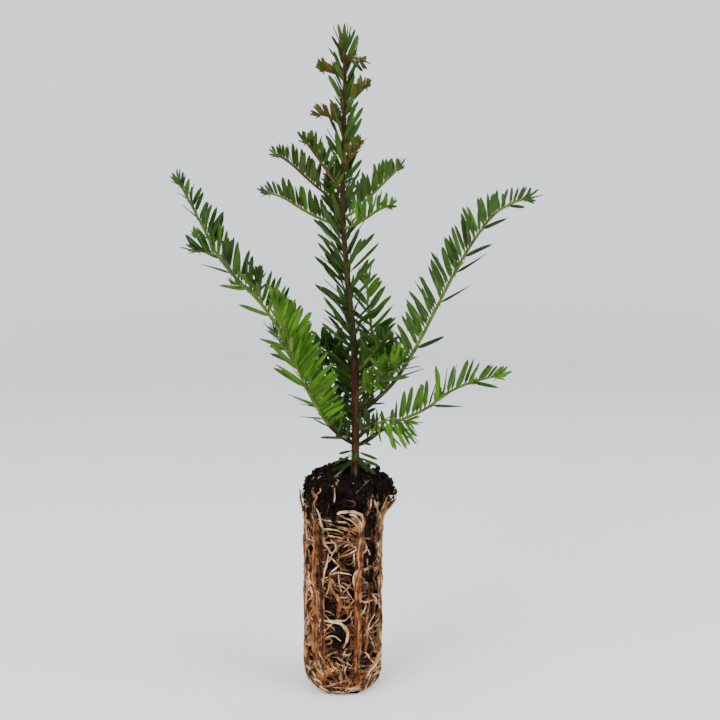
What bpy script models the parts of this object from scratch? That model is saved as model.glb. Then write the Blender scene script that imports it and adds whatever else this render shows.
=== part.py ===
"""English yew plug plant: a cell-grown root ball with its leading stem, boughs and sprays of needles.

Metres, +Z up. The origin is the centre of the root ball's flat underside. The sizes below are in
millimetres and are turned to metres where a mesh is made.
"""

import math
import random

import bmesh
import bpy
from mathutils import Vector
from mathutils.bvhtree import BVHTree

MM = 0.001
CLEAR = 0.3

# Root ball: six-sided, as the tray cell shaped it, in (height, radius at the corners).
BALL_PROFILE = [
    (0.0, 17.4), (3.5, 20.3), (9.0, 22.1), (16.0, 22.6), (60.0, 22.7), (98.0, 22.8), (110.0, 22.8),
    (117.0, 23.0), (122.0, 23.0),
]
BALL_GROOVE = 1.0
LIP_REACH = 8.6
LIP_SPREAD = 17.0
LIP_LOW = 99.0
LIP_HIGH = 117.0
SOIL_FOOT_Z = 123.7
SOIL_FOOT_RADIUS = 4.6
SOIL_MOUND = 6.5

# Roots wound over the ball.
ROOT_RADIUS = 0.85
ROOT_STAND_OFF = 1.7
ROOT_STRANDS = 9
ROOT_HOOPS = (24.0, 64.0, 106.0)

# Stem: where its axis runs (x, y, z) and its radius up the height.
STEM_AXIS = [
    (7.3, 0.0, 124.0), (7.6, -0.6, 165.0), (6.6, 0.4, 205.0), (3.0, 1.0, 242.0), (0.4, 0.4, 280.0),
    (1.2, -0.5, 318.0), (1.9, 0.2, 372.0),
]
STEM_RADIUS = [
    (124.0, 3.5), (126.5, 2.9), (130.0, 2.45), (140.0, 2.3), (184.0, 2.1), (188.0, 2.7), (192.0, 2.6),
    (196.0, 1.95), (240.0, 1.7), (266.0, 1.55), (272.0, 1.75), (300.0, 1.35), (340.0, 1.15),
    (366.0, 0.95),
]
STEM_FOOT = 124.0
STEM_TIP = 366.0
STEM_SIDES = 10

# The stems of sprays are three-sided, so their corners stand out further than a round one.
SPRAY_STEM = 1.35

# Needles, and how their ranks stand off a shoot (degrees).
NEEDLE_THICK = 0.7
NEEDLE_WIDE = 3.3
NEEDLE_ROOT = 0.62
NEEDLE_WIDEST = 0.62

# Side shoots: height on the stem, azimuth (0 is +X, 90 is away from the front) and its turn, rise
# along the length in degrees, length, bare bough, base radius, needle length and spacing, lean of
# the needles at the base and at the tip, and the ranks: the angles about the shoot, from level, at
# which its needles stand one after another. Side twigs are (share of the length, azimuth, rise,
# length).
SHOOTS = [
    dict(
        name="left_long", z=150, az=172, turn=-14, rise=(20, 65, 62, 40, 62, 58),
        length=185, bare=24, thick=1.35, needle=20, gap=3.3, lean=(64, 44),
        ranks=(82, 58, 112, 286, 150, 74, 96, 28, 124, 318),
        twigs=((0.8, 178, 4, 8), (0.735, 184, 10, 13), (0.6, 176, 14, 8), (0.55, 20, 76, 12)),
    ),
    dict(
        name="left_front", z=145.5, az=216, turn=-8, rise=(23, 52, 63, 74, 67),
        length=102, bare=22, thick=1.2, needle=20, gap=2.6, lean=(92, 44),
        ranks=(118, 318, 102, 288, 130, 336, 112, 262, 142, 302),
        twigs=(),
    ),
    dict(
        name="right_long", z=165, az=6, turn=14, rise=(22, 56, 63, 61, 52, 8),
        length=166, bare=16, thick=1.35, needle=21.5, gap=3.7, lean=(66, 46),
        ranks=(84, 62, 104, 20, 92, 122, 300, 76, 152, 88),
        twigs=((0.6, -75, 40, 8), (0.36, 172, 24, 9)),
    ),
    dict(
        name="right_low", z=144, az=-10, turn=10, rise=(32, 34, 22, 40, 20, 10),
        length=93, bare=16, thick=1.15, needle=17, gap=3.4, lean=(66, 48),
        ranks=(82, 102, 32, 92, 148, 66, 8, 288),
        twigs=((0.55, 40, 25, 9), (0.8, -45, 12, 7)),
    ),
    dict(
        name="right_droop", z=148, az=-52, turn=10, rise=(37, 33, 15, -3),
        length=47, bare=14, thick=1.0, needle=15, gap=2.6, lean=(66, 44),
        ranks=(200, 340, 228, 254, 318, 292, 214),
        twigs=(),
    ),
    dict(
        name="right_mid", z=182, az=48, turn=20, rise=(-15, 88, 112, 83),
        length=72, bare=0, thick=1.1, needle=18, gap=3.0, lean=(60, 42),
        ranks=(328, 192, 316, 168, 344, 206, 2),
        twigs=(),
    ),
    dict(
        name="right_front", z=175, az=-34, turn=0, rise=(19, 35, 33, 50),
        length=40, bare=0, thick=1.0, needle=15, gap=2.6, lean=(64, 40),
        ranks=(178, 2, 150, 38, 202, 336, 92),
        twigs=(),
    ),
    dict(
        name="right_inner", z=187, az=-14, turn=0, rise=(42, 50, 48, 53),
        length=28, bare=0, thick=0.95, needle=14, gap=2.8, lean=(62, 42),
        ranks=(58, 122, 0, 180, 90),
        twigs=(),
    ),
    dict(
        name="left_inner", z=183, az=138, turn=0, rise=(23, 45, 48, 55),
        length=30, bare=0, thick=0.95, needle=16, gap=2.8, lean=(62, 42),
        ranks=(58, 122, 0, 180, 90, 268),
        twigs=(),
    ),
    dict(
        name="left_back", z=163, az=128, turn=0, rise=(5, 33, 24, 19),
        length=44, bare=0, thick=1.0, needle=16, gap=2.9, lean=(64, 44),
        ranks=(22, 158, 62, 120, 252, 2),
        twigs=(),
    ),
    dict(
        name="back_low", z=152, az=88, turn=10, rise=(28, 36, 40, 34),
        length=84, bare=14, thick=1.15, needle=17, gap=3.2, lean=(64, 44),
        ranks=(30, 150, 4, 176, 90),
        twigs=((0.5, 140, 30, 10), (0.66, 40, 25, 9)),
    ),
    dict(
        name="back_high", z=279, az=94, turn=0, rise=(30, 40, 40, 30),
        length=40, bare=0, thick=0.9, needle=14, gap=2.8, lean=(62, 42),
        ranks=(30, 150, 4, 176, 90),
        twigs=(),
    ),
    dict(
        name="upper_left_low", z=270, az=184, turn=0, rise=(21, 24, 34, 10),
        length=48, bare=0, thick=1.0, needle=13.5, gap=2.6, lean=(72, 44),
        ranks=(90, 150, 80, 30, 100, 94, 278),
        twigs=(),
    ),
    dict(
        name="upper_left_mid", z=282, az=170, turn=0, rise=(37, 37, 44, 25),
        length=49, bare=0, thick=1.0, needle=13.5, gap=2.6, lean=(68, 44),
        ranks=(90, 148, 78, 28, 102, 272),
        twigs=(),
    ),
    dict(
        name="upper_left_front", z=291, az=214, turn=0, rise=(36, 51, 48, 45),
        length=37, bare=0, thick=0.9, needle=13, gap=2.9, lean=(60, 42),
        ranks=(62, 132, 92, 22, 168),
        twigs=(),
    ),
    dict(
        name="upper_right_high", z=276, az=6, turn=0, rise=(21, 46, 44, 45),
        length=43, bare=0, thick=1.0, needle=14, gap=2.6, lean=(64, 42),
        ranks=(90, 30, 102, 74, 150, 282),
        twigs=(),
    ),
    dict(
        name="upper_right_low", z=270, az=-44, turn=0, rise=(5, 22, 26, 8),
        length=38, bare=0, thick=0.95, needle=13, gap=2.7, lean=(64, 42),
        ranks=(40, 150, 92, 8, 188),
        twigs=(),
    ),
    dict(
        name="tuft_right_low", z=302, az=-40, turn=0, rise=(50, 52, 45),
        length=19, bare=0, thick=0.85, needle=10, gap=2.4, lean=(60, 36),
        ranks=(60, 120, 0, 180, 90),
        twigs=(),
    ),
    dict(
        name="tuft_left_low", z=324, az=188, turn=0, rise=(60, 30, -8),
        length=19, bare=0, thick=0.8, needle=9, gap=2.2, lean=(70, 36),
        ranks=(84, 50, 120, 160, 100, 14),
        twigs=(),
    ),
    dict(
        name="tuft_right_mid", z=339, az=-8, turn=0, rise=(15, 45, 40),
        length=17, bare=0, thick=0.8, needle=9, gap=2.2, lean=(66, 34),
        ranks=(84, 50, 120, 20, 150),
        twigs=(),
    ),
    dict(
        name="tuft_back", z=331, az=96, turn=0, rise=(30, 40, 30),
        length=14, bare=0, thick=0.8, needle=9, gap=2.4, lean=(60, 36),
        ranks=(40, 140, 90, 0, 180),
        twigs=(),
    ),
    dict(
        name="tuft_left_high", z=354, az=186, turn=0, rise=(15, 12, 20),
        length=14, bare=0, thick=0.75, needle=8.5, gap=2.1, lean=(70, 34),
        ranks=(84, 50, 122, 160, 100, 14),
        twigs=(),
    ),
    dict(
        name="tuft_right_high", z=361, az=-28, turn=0, rise=(40, 10, -30),
        length=11, bare=0, thick=0.7, needle=9.5, gap=2.1, lean=(66, 40),
        ranks=(232, 200, 270, 330, 60, 250),
        twigs=(),
    ),
]

# Needles of the side twigs.
TWIG_NEEDLE = 6.5
TWIG_GAP = 2.4
TWIG_RANKS = (60, 120, 4, 176, 90)
TWIG_LEAN = (70, 38)

# Needles set round the stem itself, each group on a thin green sheath of leaf bases:
# heights, needle length, needles, angle above level.
SHEATHS = [
    dict(name="stem_needles_foot", low=132.0, high=142.5, needle=15, count=11, rise=-20),
    dict(name="stem_needles_low", low=197.0, high=229.0, needle=23, count=18, rise=42),
    dict(name="stem_needles_mid", low=229.6, high=263.5, needle=24, count=19, rise=48),
    dict(name="stem_needles_crown", low=264.2, high=298.0, needle=19, count=13, rise=50),
    dict(name="stem_needles_high", low=305.5, high=320.5, needle=18, count=8, rise=60),
    dict(name="stem_needles_top", low=342.5, high=351.5, needle=16, count=6, rise=62),
]
SHEATH_WALL = 0.8

# Terminal shoot over the stem's tip.
CROWN_TOP = 383.0
CROWN_STEM = 6.5
CROWN_NEEDLES = 11


def clear_scene():
    for obj in list(bpy.data.objects):
        bpy.data.objects.remove(obj, do_unlink=True)


def make_material(name, colour, roughness):
    material = bpy.data.materials.new(name)
    material.use_nodes = True
    shader = material.node_tree.nodes["Principled BSDF"]
    shader.inputs["Base Color"].default_value = (*colour, 1.0)
    shader.inputs["Roughness"].default_value = roughness
    material.diffuse_color = (*colour, 1.0)
    return material


def make_object(name, shape, material=None):
    """A mesh of flat triangles, which a Boolean splits cleanly."""
    points, faces = shape
    mesh = bpy.data.meshes.new(name)
    triangles = [(f[0], f[k], f[k + 1]) for f in faces for k in range(1, len(f) - 1)]
    mesh.from_pydata([p * MM for p in points], [], triangles)
    if material:
        mesh.materials.append(material)
    obj = bpy.data.objects.new(name, mesh)
    bpy.context.scene.collection.objects.link(obj)
    return obj


def along(table, value):
    """The table's second column at this value of its first."""
    if value <= table[0][0]:
        return table[0][1]
    for (a, low), (b, high) in zip(table, table[1:]):
        if value <= b:
            return low + (high - low) * (value - a) / (b - a)
    return table[-1][1]


def smooth(low, high, value):
    t = min(max((value - low) / (high - low), 0.0), 1.0)
    return t * t * (3.0 - 2.0 * t)


def slant(az, rise):
    """The direction at this azimuth and angle above level, in degrees."""
    az = math.radians(az)
    rise = math.radians(rise)
    return Vector((math.cos(rise) * math.cos(az), math.cos(rise) * math.sin(az), math.sin(rise)))


def stem_point(z):
    """The stem's axis at a height, as a smooth curve through its named points."""
    axis = [Vector(p) for p in STEM_AXIS]
    axis = [2 * axis[0] - axis[1]] + axis + [2 * axis[-1] - axis[-2]]
    i = 1
    while i < len(axis) - 3 and z > axis[i + 1].z:
        i += 1
    a, b, c, d = axis[i - 1 : i + 3]
    t = (z - b.z) / (c.z - b.z)
    bend = (2 * a - 5 * b + 4 * c - d) * t ** 2 + (3 * b - a - 3 * c + d) * t ** 3
    point = 0.5 * (2 * b + (c - a) * t + bend)
    return Vector((point.x, point.y, z))


def tube(path, radii, sides, turn=0.0):
    """A closed round bar along a path, its end faces square to the path."""
    points = []
    side = None
    for i, centre in enumerate(path):
        ahead = path[min(i + 1, len(path) - 1)] - path[max(i - 1, 0)]
        ahead.normalize()
        if side is None:
            side = ahead.cross(Vector((0, 0, 1)) if abs(ahead.z) < 0.9 else Vector((0, 1, 0)))
        side = (side - ahead * side.dot(ahead)).normalized()
        over = ahead.cross(side)
        for k in range(sides):
            angle = turn + 2 * math.pi * k / sides
            points.append(centre + radii[i] * (math.cos(angle) * side + math.sin(angle) * over))
    faces = [tuple(reversed(range(sides)))]
    for i in range(len(path) - 1):
        for k in range(sides):
            n = (k + 1) % sides
            faces.append((i * sides + k, i * sides + n, (i + 1) * sides + n, (i + 1) * sides + k))
    faces.append(tuple((len(path) - 1) * sides + k for k in range(sides)))
    return points, faces


def stem_bar(low, high, extra, step=8.0):
    """A length of the stem made thicker by a given amount."""
    levels = sorted({low, high, *[z for z, _ in STEM_RADIUS if low < z < high]})
    heights = [low]
    for z in levels[1:]:
        count = max(1, math.ceil((z - heights[-1]) / step))
        start = heights[-1]
        heights += [start + (z - start) * (k + 1) / count for k in range(count)]
    path = [stem_point(z) for z in heights]
    return tube(path, [along(STEM_RADIUS, z) + extra for z in heights], STEM_SIDES)


def shoot_path(shoot, step=6.0):
    """Points along a shoot's axis, from the stem's axis out."""
    count = max(4, round(shoot["length"] / step))
    keys = [(k / (len(shoot["rise"]) - 1), rise) for k, rise in enumerate(shoot["rise"])]
    fine = 4
    stride = shoot["length"] / (count * fine)
    point = stem_point(shoot["z"])
    path = [point.copy()]
    for i in range(count * fine):
        t = (i + 0.5) / (count * fine)
        point = point + slant(shoot["az"] + shoot["turn"] * t, along(keys, t)) * stride
        if (i + 1) % fine == 0:
            path.append(point.copy())
    return path


def at_length(path, distance):
    """(point, direction) at a distance along a path."""
    for a, b in zip(path, path[1:]):
        span = (b - a).length
        if distance <= span:
            return a + (b - a) * (distance / span), (b - a).normalized()
        distance -= span
    return path[-1].copy(), (path[-1] - path[-2]).normalized()


def piece_of(path, low, high, step=6.0):
    """The points of a path between two distances along it."""
    count = max(1, round((high - low) / step))
    return [at_length(path, low + (high - low) * i / count)[0] for i in range(count + 1)]


def shoot_radius(shoot, distance):
    return shoot["thick"] * (1.0 - 0.4 * distance / shoot["length"])


def needle(root, ahead, across, length, wide, grow=0.0):
    """A flat three-sided blade: narrow at its root, widest past the middle, pointed at the tip."""
    over = ahead.cross(across).normalized()
    half = wide / 2
    points = []
    for share, size in ((0.0, NEEDLE_ROOT), (NEEDLE_WIDEST, 1.0)):
        centre = root + ahead * (length * share)
        low = over * (0.35 * NEEDLE_THICK * size + grow)
        points.append(centre + across * (half * size + grow) - low)
        points.append(centre - across * (half * size + grow) - low)
        points.append(centre + over * (0.65 * NEEDLE_THICK * size + grow))
    points.append(root + ahead * (length + grow))
    faces = [(0, 1, 2), (0, 3, 4, 1), (1, 4, 5, 2), (2, 5, 3, 0), (3, 6, 4), (4, 6, 5), (5, 6, 3)]
    return points, faces


def frame_of(ahead, az):
    """The level direction square to a shoot, and the one square to both, on its upper side."""
    side = Vector((math.sin(math.radians(az)), -math.cos(math.radians(az)), 0))
    side = (side - ahead * side.dot(ahead)).normalized()
    return side, side.cross(ahead)


def spray(path, low, high, az, turn, size, gap, ranks, lean, rng):
    """The needles of a shoot, rank after rank, as (root, direction, width direction, length)."""
    found = []
    count = max(2, round((high - low) / gap))
    for i in range(count):
        t = (i + 0.5 + rng.uniform(-0.3, 0.3)) / count
        distance = low + t * (high - low)
        place, ahead = at_length(path, distance)
        side, over = frame_of(ahead, az + turn * distance / high)
        rank = math.radians(ranks[i % len(ranks)] + rng.uniform(-13, 13))
        out = side * math.cos(rank) + over * math.sin(rank)
        tilt = math.radians(lean[0] + (lean[1] - lean[0]) * t + rng.uniform(-7, 7))
        along_needle = ahead * math.cos(tilt) + out * math.sin(tilt)
        across = (ahead - along_needle * ahead.dot(along_needle)).normalized()
        length = size * (0.78 + 0.26 * math.sin(math.pi * t ** 0.8)) * rng.uniform(0.88, 1.06)
        length *= 1 - 0.5 * max(0.0, (t - 0.72) / 0.28)
        found.append((place, along_needle, across, length))
    place, ahead = at_length(path, high - 1.2)
    side, over = frame_of(ahead, az + turn)
    for k in range(3):
        rank = math.radians(120 * k + 30)
        out = side * math.cos(rank) + over * math.sin(rank)
        along_needle = (ahead + 0.38 * out).normalized()
        found.append((place, along_needle, along_needle.cross(out).normalized(), size * 0.55))
    return found


def side_twig(path, length, twig):
    """The axis of a short twig that branches from a shoot."""
    share, az, rise, reach = twig
    place, _ = at_length(path, share * length)
    return [place + slant(az, rise) * (reach * s / 3) + Vector((0, 0, 0.8)) * (s / 3) ** 2 for s in range(4)]


class Space:
    """The solids that are already placed, to keep needles and twigs off them."""

    def __init__(self):
        self.shapes = {}
        self.tree = None
        self.without = None

    def add(self, name, shape):
        self.shapes[name] = shape
        self.without = None

    def touches(self, shape, own):
        if self.without != own:
            points = []
            faces = []
            for name, (more, polygons) in self.shapes.items():
                if name == own:
                    continue
                faces += [tuple(i + len(points) for i in polygon) for polygon in polygons]
                points += more
            self.tree = BVHTree.FromPolygons(points, faces)
            self.without = own
        return bool(self.tree.overlap(BVHTree.FromPolygons(*shape)))


def apply_boolean(obj, operation, others, solver):
    """One Boolean on a collection of helpers, applied, with the helpers then removed."""
    helpers = bpy.data.collections.new("joining")
    bpy.context.scene.collection.children.link(helpers)
    for k, shape in enumerate(others):
        other = make_object("joining_%03d" % k, shape)
        bpy.context.scene.collection.objects.unlink(other)
        helpers.objects.link(other)
    modifier = obj.modifiers.new("join", "BOOLEAN")
    modifier.operation = operation
    modifier.solver = solver
    modifier.operand_type = "COLLECTION"
    modifier.collection = helpers
    graph = bpy.context.evaluated_depsgraph_get()
    mesh = bpy.data.meshes.new_from_object(obj.evaluated_get(graph))
    obj.modifiers.clear()
    old = obj.data
    obj.data = mesh
    bpy.data.meshes.remove(old)
    for other in list(helpers.objects):
        bpy.data.objects.remove(other, do_unlink=True)
    bpy.data.collections.remove(helpers)


def biggest_body(points, triangles):
    """Keeps the one outer skin: a hollow that fusing sealed is filled and a loose scrap is dropped."""
    group = list(range(len(points)))

    def root_of(v):
        while group[v] != v:
            group[v] = group[group[v]]
            v = group[v]
        return v

    for a, b, c in triangles:
        group[root_of(a)] = root_of(b)
        group[root_of(b)] = root_of(c)
    volume = {}
    for a, b, c in triangles:
        key = root_of(a)
        volume[key] = volume.get(key, 0.0) + points[a].dot(points[b].cross(points[c])) / 6
    keep = max(volume, key=volume.get)
    kept = [t for t in triangles if root_of(t[0]) == keep]
    order = {}
    for t in kept:
        for v in t:
            order.setdefault(v, len(order))
    return [points[v] for v in order], [tuple(order[v] for v in t) for t in kept]


def is_closed(points, triangles):
    """True where every edge has its two faces, also with points that fall together made one."""
    first = {}
    index = [first.setdefault((round(p.x, 4), round(p.y, 4), round(p.z, 4)), i) for i, p in enumerate(points)]
    for number in (list(range(len(points))), index):
        edges = {}
        for a, b, c in triangles:
            a, b, c = number[a], number[b], number[c]
            if a == b or b == c or c == a:
                continue
            for pair in ((a, b), (b, c), (c, a)):
                edges[pair] = edges.get(pair, 0) + 1
        if any(count != 1 or (b, a) not in edges for (a, b), count in edges.items()):
            return False
    return True


def closed_skin(obj):
    """The node's outer skin in triangles, split in the first way that closes; None if none does."""
    for corners in ("BEAUTY", "EAR_CLIP"):
        for quads in ("BEAUTY", "SHORT_EDGE", "LONG_EDGE", "FIXED"):
            mesh = bmesh.new()
            mesh.from_mesh(obj.data)
            flat = math.radians(0.4)
            bmesh.ops.dissolve_limit(mesh, angle_limit=flat, verts=mesh.verts[:], edges=mesh.edges[:])
            bmesh.ops.triangulate(mesh, faces=mesh.faces[:], quad_method=quads, ngon_method=corners)
            mesh.verts.index_update()
            points = [v.co / MM for v in mesh.verts]
            triangles = [tuple(v.index for v in face.verts) for face in mesh.faces]
            mesh.free()
            shape = biggest_body(points, triangles)
            if is_closed(*shape):
                return shape
    return None


def thinned(shape, least):
    """The skin with the small faces that fusing left taken up by their neighbours, if it stays closed."""
    for kept in (least, least + 0.08, least + 0.17, least + 0.27):
        obj = make_object("thinned", shape)
        modifier = obj.modifiers.new("thin", "DECIMATE")
        modifier.ratio = kept
        graph = bpy.context.evaluated_depsgraph_get()
        mesh = obj.evaluated_get(graph).to_mesh()
        mesh.calc_loop_triangles()
        points = [v.co / MM for v in mesh.vertices]
        triangles = [tuple(t.vertices) for t in mesh.loop_triangles]
        obj.evaluated_get(graph).to_mesh_clear()
        bpy.data.objects.remove(obj, do_unlink=True)
        smaller = biggest_body(points, triangles)
        if is_closed(*smaller) and len(smaller[1]) == len(triangles):
            return smaller
    return shape


def fused(name, base, joined, cut, material, space, least=0.58):
    """One node: a base solid with others fused on and some cut away. Where faces meet too
    nearly edge to edge to close, the fused pieces are shifted by a few hundredths and tried again."""
    shift = random.Random(name)
    for attempt in range(8):
        obj = make_object(name, base, material)
        if joined:
            moved = []
            for points, faces in joined:
                step = Vector([shift.uniform(-0.03, 0.03) * attempt for _ in range(3)])
                moved.append(([p + step for p in points], faces))
            apply_boolean(obj, "UNION", moved, "MANIFOLD")
        if cut:
            apply_boolean(obj, "DIFFERENCE", cut, "MANIFOLD")
        shape = closed_skin(obj)
        bpy.data.objects.remove(obj, do_unlink=True)
        if shape:
            break
        if attempt > 1 and len(joined) > 3:
            joined = joined[:-1]
    if joined:
        shape = thinned(shape, least)
    space.add(name, shape)
    return make_object(name, shape, material)


def ball_radius(azimuth, z, extra=0.0):
    """The root ball's outline: six flat sides, a groove down each corner, and the torn lip on the right."""
    corner = along(BALL_PROFILE, z)
    off = (azimuth + 30.0) % 60.0 - 30.0
    flat = corner * math.cos(math.radians(30.0)) / math.cos(math.radians(30.0 - abs(off)))
    flat = min(flat, corner * 0.985)
    sides = smooth(1.0, 12.0, z) * (1.0 - smooth(116.0, 122.0, z))
    groove = BALL_GROOVE * max(0.0, 1.0 - abs(off) / 4.5) * sides
    turned = (azimuth + 180.0) % 360.0 - 180.0
    lip = LIP_REACH * math.exp(-((turned - 3.0) / LIP_SPREAD) ** 2)
    lip *= smooth(LIP_LOW, LIP_HIGH, z) * (1.0 - 0.25 * smooth(118.0, 122.0, z))
    wave = 0.35 * math.sin(math.radians(azimuth * 5) + z * 0.21) * smooth(2.0, 12.0, z)
    return flat - groove + lip + wave + extra


def ball_shape(extra=0.0):
    """The root ball, with its mounded top and the small hollow that the stem's foot stands in."""
    offsets = (-30.0, -15.0, -4.5, 0.0, 4.5, 15.0)
    azimuths = [60.0 * k + off for k in range(6) for off in offsets]
    heights = [0.0, 3.5, 9.0, 16.0, 38.0, 60.0, 80.0, 99.0, 108.0, 114.0, 118.0, 122.0]
    points = []
    for z in heights:
        for az in azimuths:
            points.append(slant(az, 0) * ball_radius(az, z, extra) + Vector((0, 0, z)))
    rim = len(points) - len(azimuths)
    foot = stem_point(STEM_FOOT)
    inner = [(0.80, 0.62), (0.58, 1.0), (0.38, 0.72)]
    for share, lift in inner:
        for k, az in enumerate(azimuths):
            edge = points[rim + k]
            level = edge.lerp(Vector((foot.x, foot.y, 0)), 1 - share)
            lump = 0.9 * math.sin(math.radians(az * 3) + share * 9)
            lump += 0.7 * math.sin(math.radians(az * 7) + share * 5)
            back = 1.0 + 0.3 * math.sin(math.radians(az))
            points.append(Vector((level.x, level.y, 122.0 + SOIL_MOUND * lift * back + lump * lift)))
    socket = Vector((foot.x, foot.y, SOIL_FOOT_Z))
    for az in azimuths:
        points.append(socket + slant(az, 0) * SOIL_FOOT_RADIUS)
    rings = len(heights) + len(inner) + 1
    n = len(azimuths)
    faces = [tuple(reversed(range(n)))]
    for i in range(rings - 1):
        for k in range(n):
            m = (k + 1) % n
            faces.append((i * n + k, i * n + m, (i + 1) * n + m, (i + 1) * n + k))
    faces.append(tuple((rings - 1) * n + k for k in range(n)))
    return points, faces


def ball_point(azimuth, z):
    reach = ball_radius(azimuth, z)
    return Vector((reach * math.cos(math.radians(azimuth)), reach * math.sin(math.radians(azimuth)), z))


def over_ball(azimuth, z):
    """A point that stands off the ball's side, square to it."""
    round_way = ball_point(azimuth + 3, z) - ball_point(azimuth - 3, z)
    up_way = ball_point(azimuth, z + 2.5) - ball_point(azimuth, z - 2.5)
    return ball_point(azimuth, z) + round_way.cross(up_way).normalized() * ROOT_STAND_OFF


def root_strands(rng):
    """The roots over the ball's sides: a cord beside each corner, and thinner ones that wander across."""
    strands = []
    for k in range(6):
        path = []
        for z in (3.6, 9.0, 16.0, 36.0, 54.0, 72.0, 88.0, 99.0, 108.0, 114.0, 118.5):
            path.append(over_ball(60.0 * k + 7.0 + 1.6 * math.sin(z * 0.09 + k), z))
        strands.append(tube(path, [ROOT_RADIUS * 1.1] * len(path), 4, turn=0.78))
    turns = [60.0 * k + off for k in range(12) for off in (-4.5, 4.5, 15.0, 30.0, 45.0)]
    for k, level in enumerate(ROOT_HOOPS):
        path = [over_ball(az, level + 4.0 * math.sin(math.radians(az * 3) + 2 * k)) for az in turns[:31]]
        strands.append(tube(path, [ROOT_RADIUS * 0.95] * len(path), 3, turn=math.pi))
    for k in range(ROOT_STRANDS):
        first = rng.randrange(30)
        count = rng.randrange(7, 11)
        low = 6.0 + 106.0 * ((k * 0.382) % 1.0)
        rise = rng.choice((-1, 1)) * rng.uniform(22, 60)
        curl = rng.uniform(5, 11)
        path = []
        for i in range(count):
            t = i / (count - 1)
            z = low + rise * t + curl * math.sin(math.pi * 2 * t + k)
            path.append(over_ball(turns[first + i], min(max(z, 5.0), 116.0)))
        radii = [ROOT_RADIUS * (1.0 - 0.25 * i / count) for i in range(count)]
        strands.append(tube(path, radii, 3, turn=math.pi))
    return strands


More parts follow.
